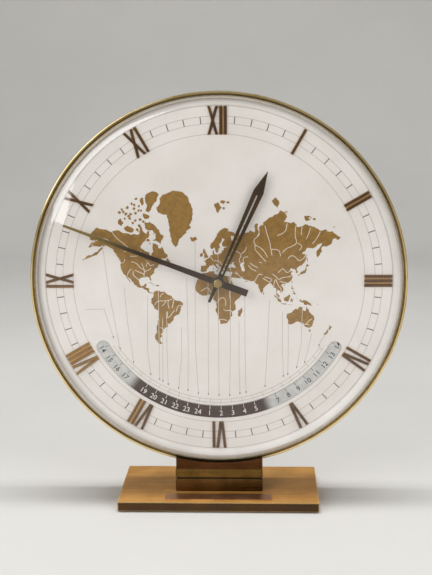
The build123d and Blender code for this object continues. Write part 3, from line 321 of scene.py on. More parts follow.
def golden_slopes(tree, tone):
    """Dark on tops and upper slopes, gold below as a painted reflection; at eight o'clock the tops are
    golden too, a painted highlight.
    """
    _, depth, angle = ring_place(tree)
    tone = mixed(tree, remap(tree, beside(tree, angle, -120), 0.84, 0.96, 0.0, 0.8), tone, "#A8823C")
    below = remap(tree, depth, NUMERAL_TOP + 0.4 * MM, NUMERAL_TOP + 0.9 * MM)
    return mixed(tree, below, tone, "#CC9A4C")


def lighter_tip(tree, tone):
    radius, _, _ = ring_place(tree)
    return mixed(tree, remap(tree, radius, 55 * MM, 100 * MM, 0.0, 0.8), tone, "#A08C52")


NUMERAL_BRASS = brass("bronzed numeral brass", "#6E440E", "#4C2E08", 0.34, (0.7, 9.0), "Z", "#2A1A0C", 0.25,
                      shade_and_tone=golden_slopes, worn=0.2)
HOUR_BRONZE = brass("bronzed hour hand", "#4A320C", "#322208", 0.36, (0.8, 20.0), "Z", "#2A2010", 0.3,
                    worn=0.3)
MINUTE_BRONZE = brass("bronzed minute hand", "#40260A", "#2A1804", 0.34, (0.8, 20.0), "X", "#241A0C", 0.3,
                      shade_and_tone=lighter_tip, worn=0.2)
CAP_BRASS = brass("pale gilt cap", "#CDB478", "#A1864A", 0.24, (0.6, 1.0), "RING", "#7A6030", 0.2)
PLATE_BRASS = brass("rolled plate brass", "#D8B878", "#B8934E", 0.30, (0.7, 25.0), "X", "#6A4C24", 0.25)
WHEEL_BRASS = brass("gilt wheel brass", "#E8C980", "#C79F54", 0.22, (0.5, 1.0), "RING", "#7A5A28", 0.2)


def bare_metal(name, bright, deep, rough, size):
    """A drawn or ground metal: cloudy tone, fine bump from its surface."""
    material, tree, shader = new_material(name, Metallic=1.0)
    cloud = blotches(tree, size, 4.0)
    dress(tree, shader, clouded(tree, cloud, bright, deep), cloud, rough, (0.7, 1.3), 0.005)
    return material


STEEL = bare_metal("ground steel", "#C9CBCE", "#9A9DA2", 0.24, (1.5, 12.0, 1.5))
COPPER_WIRE = bare_metal("enamelled copper wire", "#C06A3C", "#8A4020", 0.3, (0.3, 0.3, 6.0))
print("metals:", len(bpy.data.materials))

# %% [markdown]
# The dial is a brass disc sprayed with warm white lacquer, then rubbed down, so it is satin and very
# slightly uneven. The sloping ring round it has the same lacquer with a little more gloss.
# Behind the window runs the 24-hour disc. Its colour is not a picture but a rule: the night hours are
# brown and the day hours silver, three times round, and the two fade into each other at six.

# %% Lacquers of the dial
def lacquer(name, light, shade, rough, shade_and_tone=None):
    material, tree, shader = new_material(name, Coat_Weight=0.25, Coat_Roughness=0.2)
    tone = clouded(tree, blotches(tree, (30, 30, 30), 4.0), light, shade)
    if shade_and_tone:
        tone = shade_and_tone(tree, tone)
    dress(tree, shader, tone, blotches(tree, (0.9, 0.9, 0.9), 2.0), rough, (0.85, 1.15), 0.004)
    return material


def shaded_rim(tree, tone):
    """Painted shade: the slope greys towards the glass, most of all at the top left; fine turned lines run
    round it.
    """
    radius, _, angle = ring_place(tree)
    rim = remap(tree, radius, 121.5 * MM, 126.5 * MM)
    side = remap(tree, beside(tree, angle, -50), -0.8, 0.9, 0.15, 1.0)
    tone = mixed(tree, maths(tree, "MULTIPLY", rim, side), tone, "#706458")
    lines = remap(tree, scratches(tree, 0.9, 1.0, "RING"), 0.52, 0.62, 0.0, 0.5)
    return mixed(tree, lines, tone, "#A0968C")


DIAL_WHITE = lacquer("warm white dial lacquer", "#E5E0DC", "#DDD8D3", 0.45)
RING_WHITE = lacquer("white ring lacquer", "#E6E2DE", "#DBD7D3", 0.35, shaded_rim)

HOUR_TURN = 5.0        # degrees of the disc for one hour
DISC_AT_TWO = 179.1    # where the number 2 stands, clockwise from twelve


def hour_angle(hour):
    return DISC_AT_TWO - HOUR_TURN * (hour - 2)


def day_and_night():
    material, tree, shader = new_material("day and night lacquer", Specular_IOR_Level=0.3)
    _, _, angle = ring_place(tree)
    thrice = maths(tree, "MULTIPLY_ADD", angle, 3.0, -3.0 * math.radians(hour_angle(12)))
    day = remap(tree, maths(tree, "COSINE", thrice), -0.10, 0.16)
    cloud = remap(tree, blotches(tree, (4, 4, 4), 4.0), 0.3, 0.7)
    night_tone = mixed(tree, cloud, "#3C1C08", "#2A1204")
    day_tone = mixed(tree, cloud, "#CBCBC8", "#B9B9B7")
    tree.links.new(mixed(tree, day, night_tone, day_tone), shader.inputs["Base Color"])
    tree.links.new(remap(tree, day, 0, 1, 0.5, 0.32), shader.inputs["Roughness"])
    bumped(tree, shader, blotches(tree, (0.8, 0.8, 0.8), 2.0), 0.004)
    return material


DAY_NIGHT = day_and_night()
print("12 stands at", round(hour_angle(12) % 120, 1), "degrees and every 120 degrees from there")

# %% [markdown]
# Glass and the small plastics. The glass is a clear mineral dome. Light has to reach the dial through
# it, so it is a mix that is see-through straight on and mirrors at grazing angles, as real glass does.
# Light goes straight on here instead of bending, so only the side of each face that light meets
# first may mirror. Both faces of the pane together send back 2 F / (1 + F) of it.

# %% Glass, felt and plastics
def clear_glass():
    material = bpy.data.materials.new("clear mineral glass")
    material.use_nodes = True
    tree = material.node_tree
    tree.nodes.clear()
    one_face = add(tree, "ShaderNodeFresnel", inputs={"IOR": 1.5}).outputs[0]
    pane = maths(tree, "DIVIDE", maths(tree, "MULTIPLY", one_face, 2.0), maths(tree, "ADD", one_face, 1.0))
    ahead = maths(tree, "SUBTRACT", 1.0, add(tree, "ShaderNodeNewGeometry").outputs["Backfacing"])
    share = maths(tree, "MULTIPLY", pane, ahead)
    through = add(tree, "ShaderNodeBsdfTransparent", inputs={"Color": paint("#FDFDFD")})
    dust = blotches(tree, (18, 18, 18), 3.0)
    gloss = add(tree, "ShaderNodeBsdfAnisotropic", inputs={
        "Color": paint("#FFFFFF"), "Roughness": remap(tree, dust, 0.3, 0.7, 0.015, 0.035),
    })
    both = add(tree, "ShaderNodeMixShader", inputs={0: share, 1: through.outputs[0], 2: gloss.outputs[0]})
    add(tree, "ShaderNodeOutputMaterial", inputs={"Surface": both.outputs[0]})
    return material


def moulded(name, tone, shade, rough, grit_mm, depth_mm):
    """Felt or moulded plastic: a matt colour with its own grain."""
    material, tree, shader = new_material(name)
    grain = blotches(tree, (grit_mm,) * 3, 4.0)
    dress(tree, shader, clouded(tree, grain, tone, shade), grain, rough, (0.9, 1.1), depth_mm)
    return material


GLASS = clear_glass()
FELT = moulded("pressed wool felt", "#24302A", "#161D19", 0.95, 0.7, 0.15)
BLACK_ABS = moulded("moulded black ABS", "#1C1C1E", "#141415", 0.5, 0.6, 0.02)
CELL_JACKET = moulded("shrunk cell jacket", "#2E4A6A", "#27405C", 0.35, 3.0, 0.02)
# The pale bead under the glass: its colour is painted light for the glow in the glass's thick rim.
RIM_LIGHT_BEAD = moulded("pale bead for painted rim light", "#CFC6B8", "#B8AE9E", 0.7, 1.2, 0.03)

FINISHES = {
    "felt": FELT, "satin_brass": SLAB_BRASS, "copper_brown": PLAQUE_COPPER, "polished_brass": BEZEL_BRASS,
    "case_brass": COVER_BRASS, "numeral_gold": NUMERAL_BRASS, "hand_brass": HOUR_BRONZE,
    "cap_gold": CAP_BRASS, "glass": GLASS, "dial_white": DIAL_WHITE, "ring_white": RING_WHITE,
    "disc_silver": DAY_NIGHT, "plate_brass": PLATE_BRASS, "wheel_brass": WHEEL_BRASS, "steel": STEEL,
    "coil_copper": COPPER_WIRE, "black_plastic": BLACK_ABS, "cell_jacket": CELL_JACKET,
}
SPECIAL = {
    "lower_block": LOWER_BRASS, "upper_block": BLOCK_BRASS, "saddle": SADDLE_BRASS,
    "case_band": BAND_BRASS, "minute_hand": MINUTE_BRONZE,
}
for row in frame["record"]["subparts"]:
    mesh = nodes[row["node"]].data
    mesh.materials.clear()
    mesh.materials.append(SPECIAL.get(row["node"], FINISHES[row["material_slot"]]))
bare = [name for name, node in nodes.items() if not node.data.materials]
print("CAD pieces without a finish:", bare)

# %% [markdown]
# The print on the dial is ink a few hundredths of a millimetre thick. It could be painted in the
# material, but then it would be lost in a plain mesh, so each line is a real strip of ink: a thin
# closed band that follows its points and lies on the lacquer. One function lays such bands into a
# mesh, and another turns the finished mesh into a piece that rides on its body.

# %% Bands of ink
def placed(name, data):
    thing = bpy.data.objects.new(name, data)
    bpy.context.scene.collection.objects.link(thing)
    return thing


def frozen(carrier):
    """The plain mesh that an object's modifiers, letters or curves come to; the object itself goes."""
    graph = bpy.context.evaluated_depsgraph_get()
    mesh = bpy.data.meshes.new_from_object(carrier.evaluated_get(graph))
    bpy.data.objects.remove(carrier)
    return mesh


def finished(name, made, material, body):
    """Make a mesh or a bmesh into a named piece that rides on a body of the clock."""
    if isinstance(made, bmesh.types.BMesh):
        bmesh.ops.recalc_face_normals(made, faces=made.faces)
        mesh = bpy.data.meshes.new(name)
        made.to_mesh(mesh)
        made.free()
    else:
        mesh = made
    mesh.materials.clear()
    mesh.materials.append(material)
    for face in mesh.polygons:
        face.use_smooth = False
    piece = placed(name, mesh)
    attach(piece, body)
    print(name, len(mesh.polygons), "faces")


def band(bm, points, width, back, front, closed=False):
    """Lay a band of ink along points of the dial, from depth back to depth front."""
    rows = []
    last = len(points) - 1
    for i, point in enumerate(points):
        before = points[i - 1] if i > 0 or closed else point
        after = points[(i + 1) % len(points)] if i < last or closed else point
        along = Vector((after[0] - before[0], after[1] - before[1])).normalized()
        across = Vector((-along.y, along.x)) * width / 2
        corners = [(across, front), (-across, front), (-across, back), (across, back)]
        rows.append([bm.verts.new(on_dial(point[0] + c.x, point[1] + c.y, depth)) for c, depth in corners])
    pairs = list(zip(rows, rows[1:] + rows[:1])) if closed else list(zip(rows, rows[1:]))
    for one, two in pairs:
        for k in range(4):
            bm.faces.new((one[k], one[(k + 1) % 4], two[(k + 1) % 4], two[k]))
    if not closed:
        bm.faces.new(rows[0][::-1])
        bm.faces.new(rows[-1])


def ink(name, tone, rough=0.5, metal=0.0, shade=None):
    """Printing ink: nearly one colour, with the faint mottle of a rubber pad."""
    material, tree, shader = new_material(name, Metallic=metal)
    mottle = remap(tree, blotches(tree, (3.0, 3.0, 3.0), 5.0), 0.3, 0.7)
    tree.links.new(mixed(tree, mottle, tone, shade or tone), shader.inputs["Base Color"])
    tree.links.new(remap(tree, mottle, 0, 1, rough * 0.9, rough * 1.1), shader.inputs["Roughness"])
    return material


GREY_INK = ink("grey line ink", "#B3ACA4", shade="#A8A198")
DARK_INK = ink("dark line ink", "#55504A", shade="#47423D")

# %% Rings of the minute track
MINUTE_IN_R = 108.1
MINUTE_OUT_R = 113.1
MAP_RING_R = 101.0     # the line that frames the map
EDGE_RING_R = 120.1    # the line along the foot of the slope
RIM_BEAD_R, RIM_BEAD_W, RIM_BEAD_T = 126.55, 2.4, 0.08
rings = bmesh.new()
for radius in (MAP_RING_R, MINUTE_IN_R, MINUTE_OUT_R, EDGE_RING_R):
    band(rings, arc(radius), LINE_W, DIAL_FACE, DIAL_FACE - INK, closed=True)
finished("track_rings", rings, GREY_INK, "case")

# A thin pale bead under the glass; its colour is painted light for the pale glow that the glass's thick rim
# shows.
rim_bead = bmesh.new()
band(rim_bead, arc(RIM_BEAD_R), RIM_BEAD_W, RING_TOP, RING_TOP - RIM_BEAD_T, closed=True)
finished("glass_rim_painted_light", rim_bead, RIM_LIGHT_BEAD, "case")

# %% [markdown]
# Sixty minute marks, the scale above the window and the ticks of the 24-hour disc are one idea:
# equal marks at equal steps round a centre, with some left out. That is a rule, so it goes into one
# Geometry Nodes tree with the sizes as its inputs, and every scale is that tree with other numbers.

# %% A tree for marks on a ring
def marks_tree():
    tree = bpy.data.node_groups.new("marks on a ring", "GeometryNodeTree")
    wanted = {
        "Count": "Int", "Start": "Float", "Step": "Float", "Period": "Float", "Kept": "Float",
        "Centre": "Vector", "Radius": "Float", "Size": "Vector", "Finish": "Material",
    }
    for name, kind in wanted.items():
        tree.interface.new_socket(name, in_out="INPUT", socket_type="NodeSocket" + kind)
    tree.interface.new_socket("Marks", in_out="OUTPUT", socket_type="NodeSocketGeometry")
    given = add(tree, "NodeGroupInput").outputs
    number = add(tree, "GeometryNodeInputIndex").outputs[0]
    turn = maths(tree, "MULTIPLY_ADD", number, given["Step"], given["Start"])
    ray = add(tree, "ShaderNodeCombineXYZ", inputs={
        0: maths(tree, "SINE", turn), 2: maths(tree, "COSINE", turn),
    }).outputs[0]
    place = add(tree, "ShaderNodeVectorMath", {"operation": "MULTIPLY_ADD"}, {
        0: ray, 1: given["Radius"], 2: given["Centre"],
    }).outputs[0]
    points = add(tree, "GeometryNodePoints", inputs={"Count": given["Count"], "Position": place})
    chosen = maths(tree, "LESS_THAN", maths(tree, "MODULO", number, given["Period"]), given["Kept"])
    mark = add(tree, "GeometryNodeMeshCube", inputs={"Size": given["Size"]}).outputs["Mesh"]
    lean = add(tree, "ShaderNodeCombineXYZ", inputs={1: turn}).outputs[0]
    copies = add(tree, "GeometryNodeInstanceOnPoints", inputs={
        "Points": points.outputs[0], "Selection": chosen, "Instance": mark, "Rotation": lean,
    })
    real = add(tree, "GeometryNodeRealizeInstances", inputs={0: copies.outputs[0]})
    dressed = add(tree, "GeometryNodeSetMaterial", inputs={0: real.outputs[0], "Material": given["Finish"]})
    add(tree, "NodeGroupOutput", inputs={0: dressed.outputs[0]})
    return tree


MARKS = marks_tree()


def ring_marks(name, body, material, count, start, step, radius, length, width, face, period=1, kept=1):
    """Marks as long as length along the radius, standing on a face of that depth."""
    carrier = placed(name + "_carrier", bpy.data.meshes.new(name))
    modifier = carrier.modifiers.new("marks", "NODES")
    modifier.node_group = MARKS
    values = {
        "Count": count, "Start": math.radians(start), "Step": math.radians(step), "Period": float(period),
        "Kept": kept - 0.5, "Centre": on_dial(0, 0, face - INK / 2), "Radius": radius * MM,
        "Size": Vector((width, INK, length)) * MM, "Finish": material,
    }
    for item in MARKS.interface.items_tree:
        if item.item_type == "SOCKET" and item.in_out == "INPUT":
            modifier[item.identifier] = values[item.name]
    carrier.update_tag()
    finished(name, frozen(carrier), material, body)


MINUTE_MARK_W = 0.66
ring_marks("minute_marks", "case", DARK_INK, 60, 6, 6, (MINUTE_IN_R + MINUTE_OUT_R) / 2,
           MINUTE_OUT_R - MINUTE_IN_R, MINUTE_MARK_W, DIAL_FACE, period=5, kept=4)

# %% Numbers' ticks on the 24-hour disc
WHITE_INK = ink("white disc ink", "#E6E0D8")
BLACK_INK = ink("black disc ink", "#1E1C1C")
HOUR_TICK = (91.0, 3.0, 0.34)        # radius of the middle, length, width
QUARTER_TICK = (89.5, 1.1, 0.22)
for name, material, first in (("night", WHITE_INK, 19), ("day", BLACK_INK, 7)):
    ring_marks(name + "_hour_ticks", "disc", material, 72, hour_angle(first), -HOUR_TURN,
               *HOUR_TICK, DISC_FACE, period=24, kept=11)
    ring_marks(name + "_quarter_ticks", "disc", material, 288, hour_angle(first), -HOUR_TURN / 4,
               *QUARTER_TICK, DISC_FACE, period=96, kept=42)

# %% Scale above the window
SCALE_ARCS = ((84.6, 57.0), (86.9, 58.0))     # radius, and reach to both sides in degrees
SCALE_MARK = (86.0, 3.2, 0.3)
FINE_W = 0.3
scale = bmesh.new()
for radius, reach in SCALE_ARCS:
    band(scale, arc(radius, 180 - reach, 180 + reach), FINE_W, DIAL_FACE, DIAL_FACE - INK)
finished("window_scale_arcs", scale, GREY_INK, "case")
ring_marks("window_scale_marks", "case", GREY_INK, 23, hour_angle(2) - 55, 5, *SCALE_MARK, DIAL_FACE)

# %% [markdown]
# The numbers on the disc read with their tops to the centre. Each number is a text object only for
# a moment: it is turned into a mesh, then copied to its three places round the disc.

# %% Numbers of the 24-hour disc
NUMBER_H = 3.7
NUMBER_R = 94.9
CAP_SHARE = 0.73       # height of a capital as a share of the built-in font's size


def number_mesh(text, weight):
    """A number as a flat mesh; the weight fattens its strokes by so many millimetres."""
    letters = bpy.data.curves.new("number", "FONT")
    letters.body = text
    letters.size = NUMBER_H / CAP_SHARE * MM
    letters.extrude = INK / 2 * MM
    letters.offset = weight * MM
    letters.align_x = "CENTER"
    letters.resolution_u = 3
    return frozen(placed("number", letters))


def disc_numbers(name, hours, material, weight):
    bm = bmesh.new()
    for hour in hours:
        mesh = number_mesh(str(hour), weight)
        for turn in range(3):
            stand = Matrix.Rotation(math.radians(90), 4, "X")
            drop = Matrix.Translation(Vector((0, 0, -NUMBER_R - NUMBER_H / 2)) * MM)
            swing = Matrix.Rotation(math.radians(hour_angle(hour) + 120 * turn - 180), 4, "Y")
            place = Matrix.Translation(on_dial(0, 0, DISC_FACE - INK / 2))
            copy = mesh.copy()
            copy.transform(place @ swing @ drop @ stand)
            bm.from_mesh(copy)
            bpy.data.meshes.remove(copy)
    bmesh.ops.remove_doubles(bm, verts=bm.verts, dist=0.0005 * MM)
    finished(name, bm, material, "disc")


disc_numbers("night_numbers", [*range(19, 25), *range(1, 6)], WHITE_INK, 0.0)
disc_numbers("day_numbers", range(7, 18), BLACK_INK, 0.06)

# %% [markdown]
# The map is an ordinary sailor's map of the world in Mercator's projection. Its coasts are written
# as degrees east and north, about a thousand points in all, and one formula lays them on the dial.
# A coast drawn with so few points would look cut with shears, so each stretch is broken at its
# middle again and again by a small seeded step to the side.

# %% Coasts of the large lands
def places(text):
    """Lines written as pairs of plain numbers, with a semicolon between one line and the next."""
    return [[tuple(map(float, pair.split(","))) for pair in line.split()] for line in text.split(";")]


NORTH_AMERICA = places("""
-168,65.6 -164,66.5 -162,66.8 -166.5,68.3 -163,69.5 -156.5,71.3 -151,70.5 -141,69.7 -137,69 -134,69.5
-129,70 -125,69.8 -123,69.2 -115,68.5 -110,68 -108,67.5 -104,68 -98,67.7 -96,68.3 -95.5,70 -93.8,71.8
-92,70.5 -90,69 -88,68.5 -86,68 -85,69.3 -82,69.5 -81.5,67.5 -83,66.2 -87,65.4 -88,64.2 -92,63 -94.5,61
-94.7,59 -93,58.7 -89,56.9 -82.3,55.2 -82,53 -80.5,51.3 -79,51.3 -79.5,54.5 -76.7,56.5 -78,58.7
-77.5,60.5 -78,62.4 -73.7,62.3 -70,61.2 -69.5,59 -66,58.8 -64.5,60.3 -62.5,58 -60.5,55.3 -57,54
-55.8,52.5 -58,51.3 -60,50.2 -66,50.2 -68.5,49 -71,46.8 -68,48.6 -65,49.2 -64.3,48.2 -65,47 -64,46
-61,45.5 -63.5,44.6 -65.8,43.5 -67,45 -70,43.7 -70.7,41.8 -73.8,40.6 -75.5,38.7 -76,37 -75.7,35.3
-78,33.9 -81,31.8 -81.3,30 -80,27 -80.4,25.2 -81.8,26 -82.8,28.2 -84,30 -86,30.4 -89,30.2 -90,29.2
-94,29.6 -97,27.8 -97.7,24 -97.5,22 -96,19 -94.5,18.2 -92,18.6 -90.7,19.5 -90.3,21 -87,21.5 -87.5,18.8
-88.5,16 -86,15.9 -83.3,15 -83.6,12.5 -83.7,10.8 -82,9 -80,9.2 -77.5,8.6 -78.2,7.6 -80.3,8.2 -82,8
-83.7,8.6 -85.8,10.2 -87.6,12.8 -91,13.9 -94.5,16.1 -97,15.9 -101,17.5 -105.5,20.3 -105.5,22.5
-108.5,25.2 -112.3,29 -114.7,31.6 -114.5,30 -112.5,27.5 -111,25.5 -109.5,23.1 -112,24.8 -114,27.5
-115.8,30.2 -117.2,32.6 -120.6,34.5 -122,37 -124,40 -124.3,43 -124.6,48.3 -125,50.2 -128,51.5
-130.5,54.5 -134,58 -138,59.1 -141,60 -146,61 -149,60 -152,59.2 -151.5,61 -154,59.3 -157,57.5 -160,55.8
-164.8,54.6 -160.5,56 -157.5,58.6 -162,58.7 -162,60 -165.3,61 -166,62 -164.5,63.2 -161,63.6 -161,64.5
-166,64.6
""")
SOUTH_AMERICA = places("""
-77.3,8.6 -75.5,10.6 -74,11.2 -71.7,12.2 -71.3,10.8 -70,12 -68,10.6 -64,10.3 -61.8,10.7 -60,8.6
-57.5,6.2 -52,4.8 -51,3.5 -50,0.8 -48,-0.8 -44.4,-2.8 -40,-2.9 -37,-4.9 -35.1,-6 -35,-9 -38.5,-13
-39,-17.5 -40.8,-22 -44.5,-23.2 -48.3,-25.8 -48.6,-28.4 -52.2,-32.5 -54.5,-34.8 -58.2,-34.2 -57,-36.3
-57.8,-38.3 -62.2,-39 -62.3,-40.8 -65.1,-41.1 -63.7,-42.6 -65.3,-44.6 -67.5,-46 -65.8,-47.8 -69,-50.8
-68.4,-52.3 -65.3,-54.8 -68.5,-55.5 -72,-54.3 -75,-51.5 -75.5,-47 -73,-44 -73.7,-41.5 -73.3,-37
-71.6,-33 -71.4,-30 -70.3,-24 -70.3,-18.4 -76.2,-13.8 -79,-8 -81.2,-5.8 -80.3,-3.4 -81,-2 -80,0.5
-78.8,1.5 -77.2,4 -77.5,6.8
""")
AFRICA = places("""
-6,35.8 -2,35.1 3,36.9 10,37.3 10.2,34 15,32.3 19,30.4 20,32.5 22,32.9 25,31.7 29,31 32.3,31.2 32.6,30
34,26.5 35.5,24 37.2,21 37.5,18.5 39.5,15.5 43.2,12 43.3,11.3 51,11.9 51,10.3 48,4.5 43.5,0 40,-3
39,-6.5 40.5,-10.5 40.7,-15 35,-20 35.5,-24 32.8,-26 32.5,-28.3 30,-31.2 25.7,-34 20,-34.8 18.3,-34
17.3,-29.5 15,-26.5 14.4,-22.5 11.8,-17.5 13.5,-12.5 13,-9 12.2,-6 9,-1 9.5,3.8 8.5,4.6 6,4.3 4.3,6.3
-2,4.8 -7.5,4.4 -11.5,6.8 -13.3,9 -16.8,12.4 -17.5,14.7 -16.3,19 -17,21 -14.8,25.5 -13,27.7 -10,29.5
-9.6,31.5 -6.8,34
""")
EURASIA = places("""
-5.6,36 -8.9,37 -9.5,38.7 -8.8,42 -9.2,43.2 -4,43.5 -1.8,43.4 -1.2,45.5 -4.6,48.2 -1.5,48.7 -1.7,49.7
1.5,50.5 4,52 5,53.3 8.5,53.7 8.2,56.8 10.5,57.7 10.3,56 9.8,54.8 12,54.2 14.3,54 18.5,54.8 21,55.2
21.3,57.3 24.3,57.2 23.5,59 28,59.5 30,60 25,60.2 22.5,60.2 21.3,61.5 21.5,63 25.3,65 22,65.8 21,64
17.5,62 17.3,60.7 19,59.8 16.5,57.5 15.9,56.1 14.3,55.5 12.8,55.5 11.3,58.9 10.5,59.5 8,58.1 5.5,58.8
5,62 9,63.6 12.5,66 15,68.3 20,70 25.7,71.1 31,70.4 29.5,69.6 35,69.2 41,67.5 40,66.2 34,66.8 34.8,64.4
37,63.9 40,64.6 40,65.6 44,66 44,68.3 46,68 46.5,66.9 53,68.6 60,68.9 60.5,69.8 65,69.2 67,68.8
68.5,70.8 67,71.5 69,72.8 72.8,72.8 72,70.5 73.5,68 71,66.5 73.8,67 74.5,69.2 73.5,71.3 76,72.1
80.5,72.3 80.5,73.6 87,74.9 98,76.3 104.3,77.7 112,76.5 113.8,75.4 109,73.8 113,73.6 119,73 124,73.6
129,71.2 133,71.5 140,72.6 150,71.5 160,69.8 162,69.6 170,70 171,69.1 178,69.3 185,67 190,66.1 187,64.4
182,65.5 178.5,64.6 177.5,62.4 170,60 163.3,59.8 162.5,57.8 163.3,56 160,53 156.7,51 155.6,55 156,57
161,60 164,62.3 160,61.8 157,61.5 152,59 143,59.2 135.3,54.8 139.5,54.2 141,52.5 140.3,48.5 135.5,44
132,43.2 130.7,42.3 127.7,40 129.4,37 129,35.3 126.5,34.5 126.7,37.5 125,39.7 121.3,39 121.8,40.8
118,39.1 119,37.3 122.5,37.2 119.3,35 121.8,31.8 121.8,29.5 119.5,25.5 116.5,23 113.5,22.2 110.2,21
108,21.6 105.7,19 108.8,15.5 109.3,12 107,10.4 105,8.7 105,10.3 102.5,12.2 100.9,13.4 100,11.5 99.3,9.3
100.5,7.2 103.4,4.5 104.2,1.4 101.3,2.9 98.5,7.5 98.7,12 97.7,16.3 94.5,16 94.2,18.8 92,21.5 90.4,22.3
87,21.3 85,19.5 82.3,16.7 80.2,15 80.2,13 79.8,10.3 77.6,8.1 76.3,10 74.8,13.5 73,17 72.8,20.5 72.2,21
70.5,20.8 69,22.3 67.3,24.7 66.5,25.3 61.6,25.1 57.3,25.8 56.5,27 54.5,26.6 51,28 50,30.2 48,30
48.3,28.5 50.2,26.6 51.6,24.2 54,24.1 56.3,26.2 56.8,24.3 59.8,22.5 57.8,19 55.2,17.6 52,15.6 45,12.8
43.4,12.7 42.7,16.4 39.1,21.3 37.2,24.8 34.9,29.5 34.3,28 32.6,29.9 34.3,31.3 35.8,34.5 36.1,36.7
32.5,36.1 30.5,36.8 27.3,37 26.3,39.3 29,41.1 31.3,41.2 35,42 38.4,40.9 41.5,41.5 39,44 37.3,45
39.3,47.2 35,46.2 36.5,45.2 33.6,44.4 32.5,45.4 33.3,46.1 30.8,46.6 28.7,44.3 27.8,42.3 28.9,41.3
26.2,40.6 23.8,40.4 22.9,39.3 24,38 22.7,36.6 21.2,38 19.5,41.5 16,43.5 13.7,45.4 12.4,44.7 14,42.5
16,41.8 18.4,40.1 17,40.5 16.6,38.5 15.7,38 15.7,40 12.5,41.5 10.3,43.3 8.8,44.4 6.3,43.1 3.2,43
3.1,41.8 0,39.8 -0.5,38 -2.1,36.7
""")
AUSTRALIA = places("""
142.5,-10.8 143.5,-14.3 145.3,-15 146.3,-19 149.5,-22.3 153,-25.5 153.6,-28.5 151.5,-33 150,-37.2
146.5,-39 143.5,-38.7 140,-37.5 138.2,-35 137.8,-32.8 136,-34.8 134,-32.7 131,-31.6 126,-32.3
123.5,-33.9 118,-35 115.2,-34.2 115.7,-31.5 113.3,-26 113.8,-22 117,-20.6 121,-19.5 122.3,-17.2
124.5,-16 126.5,-14 129.5,-15 130.6,-12.6 132.6,-11.4 136.8,-12.2 135.6,-15 139,-17.4 140.8,-17.4
141.6,-14
""")
CASPIAN_SEA = places("""
50,46.7 53,46.7 53,45 51,44.5 52.5,42 53.8,40 53.8,37.2 50,37.4 49,40 47.5,42.8 47,44.8
""")
print("the largest coast has", len(EURASIA[0]), "points")

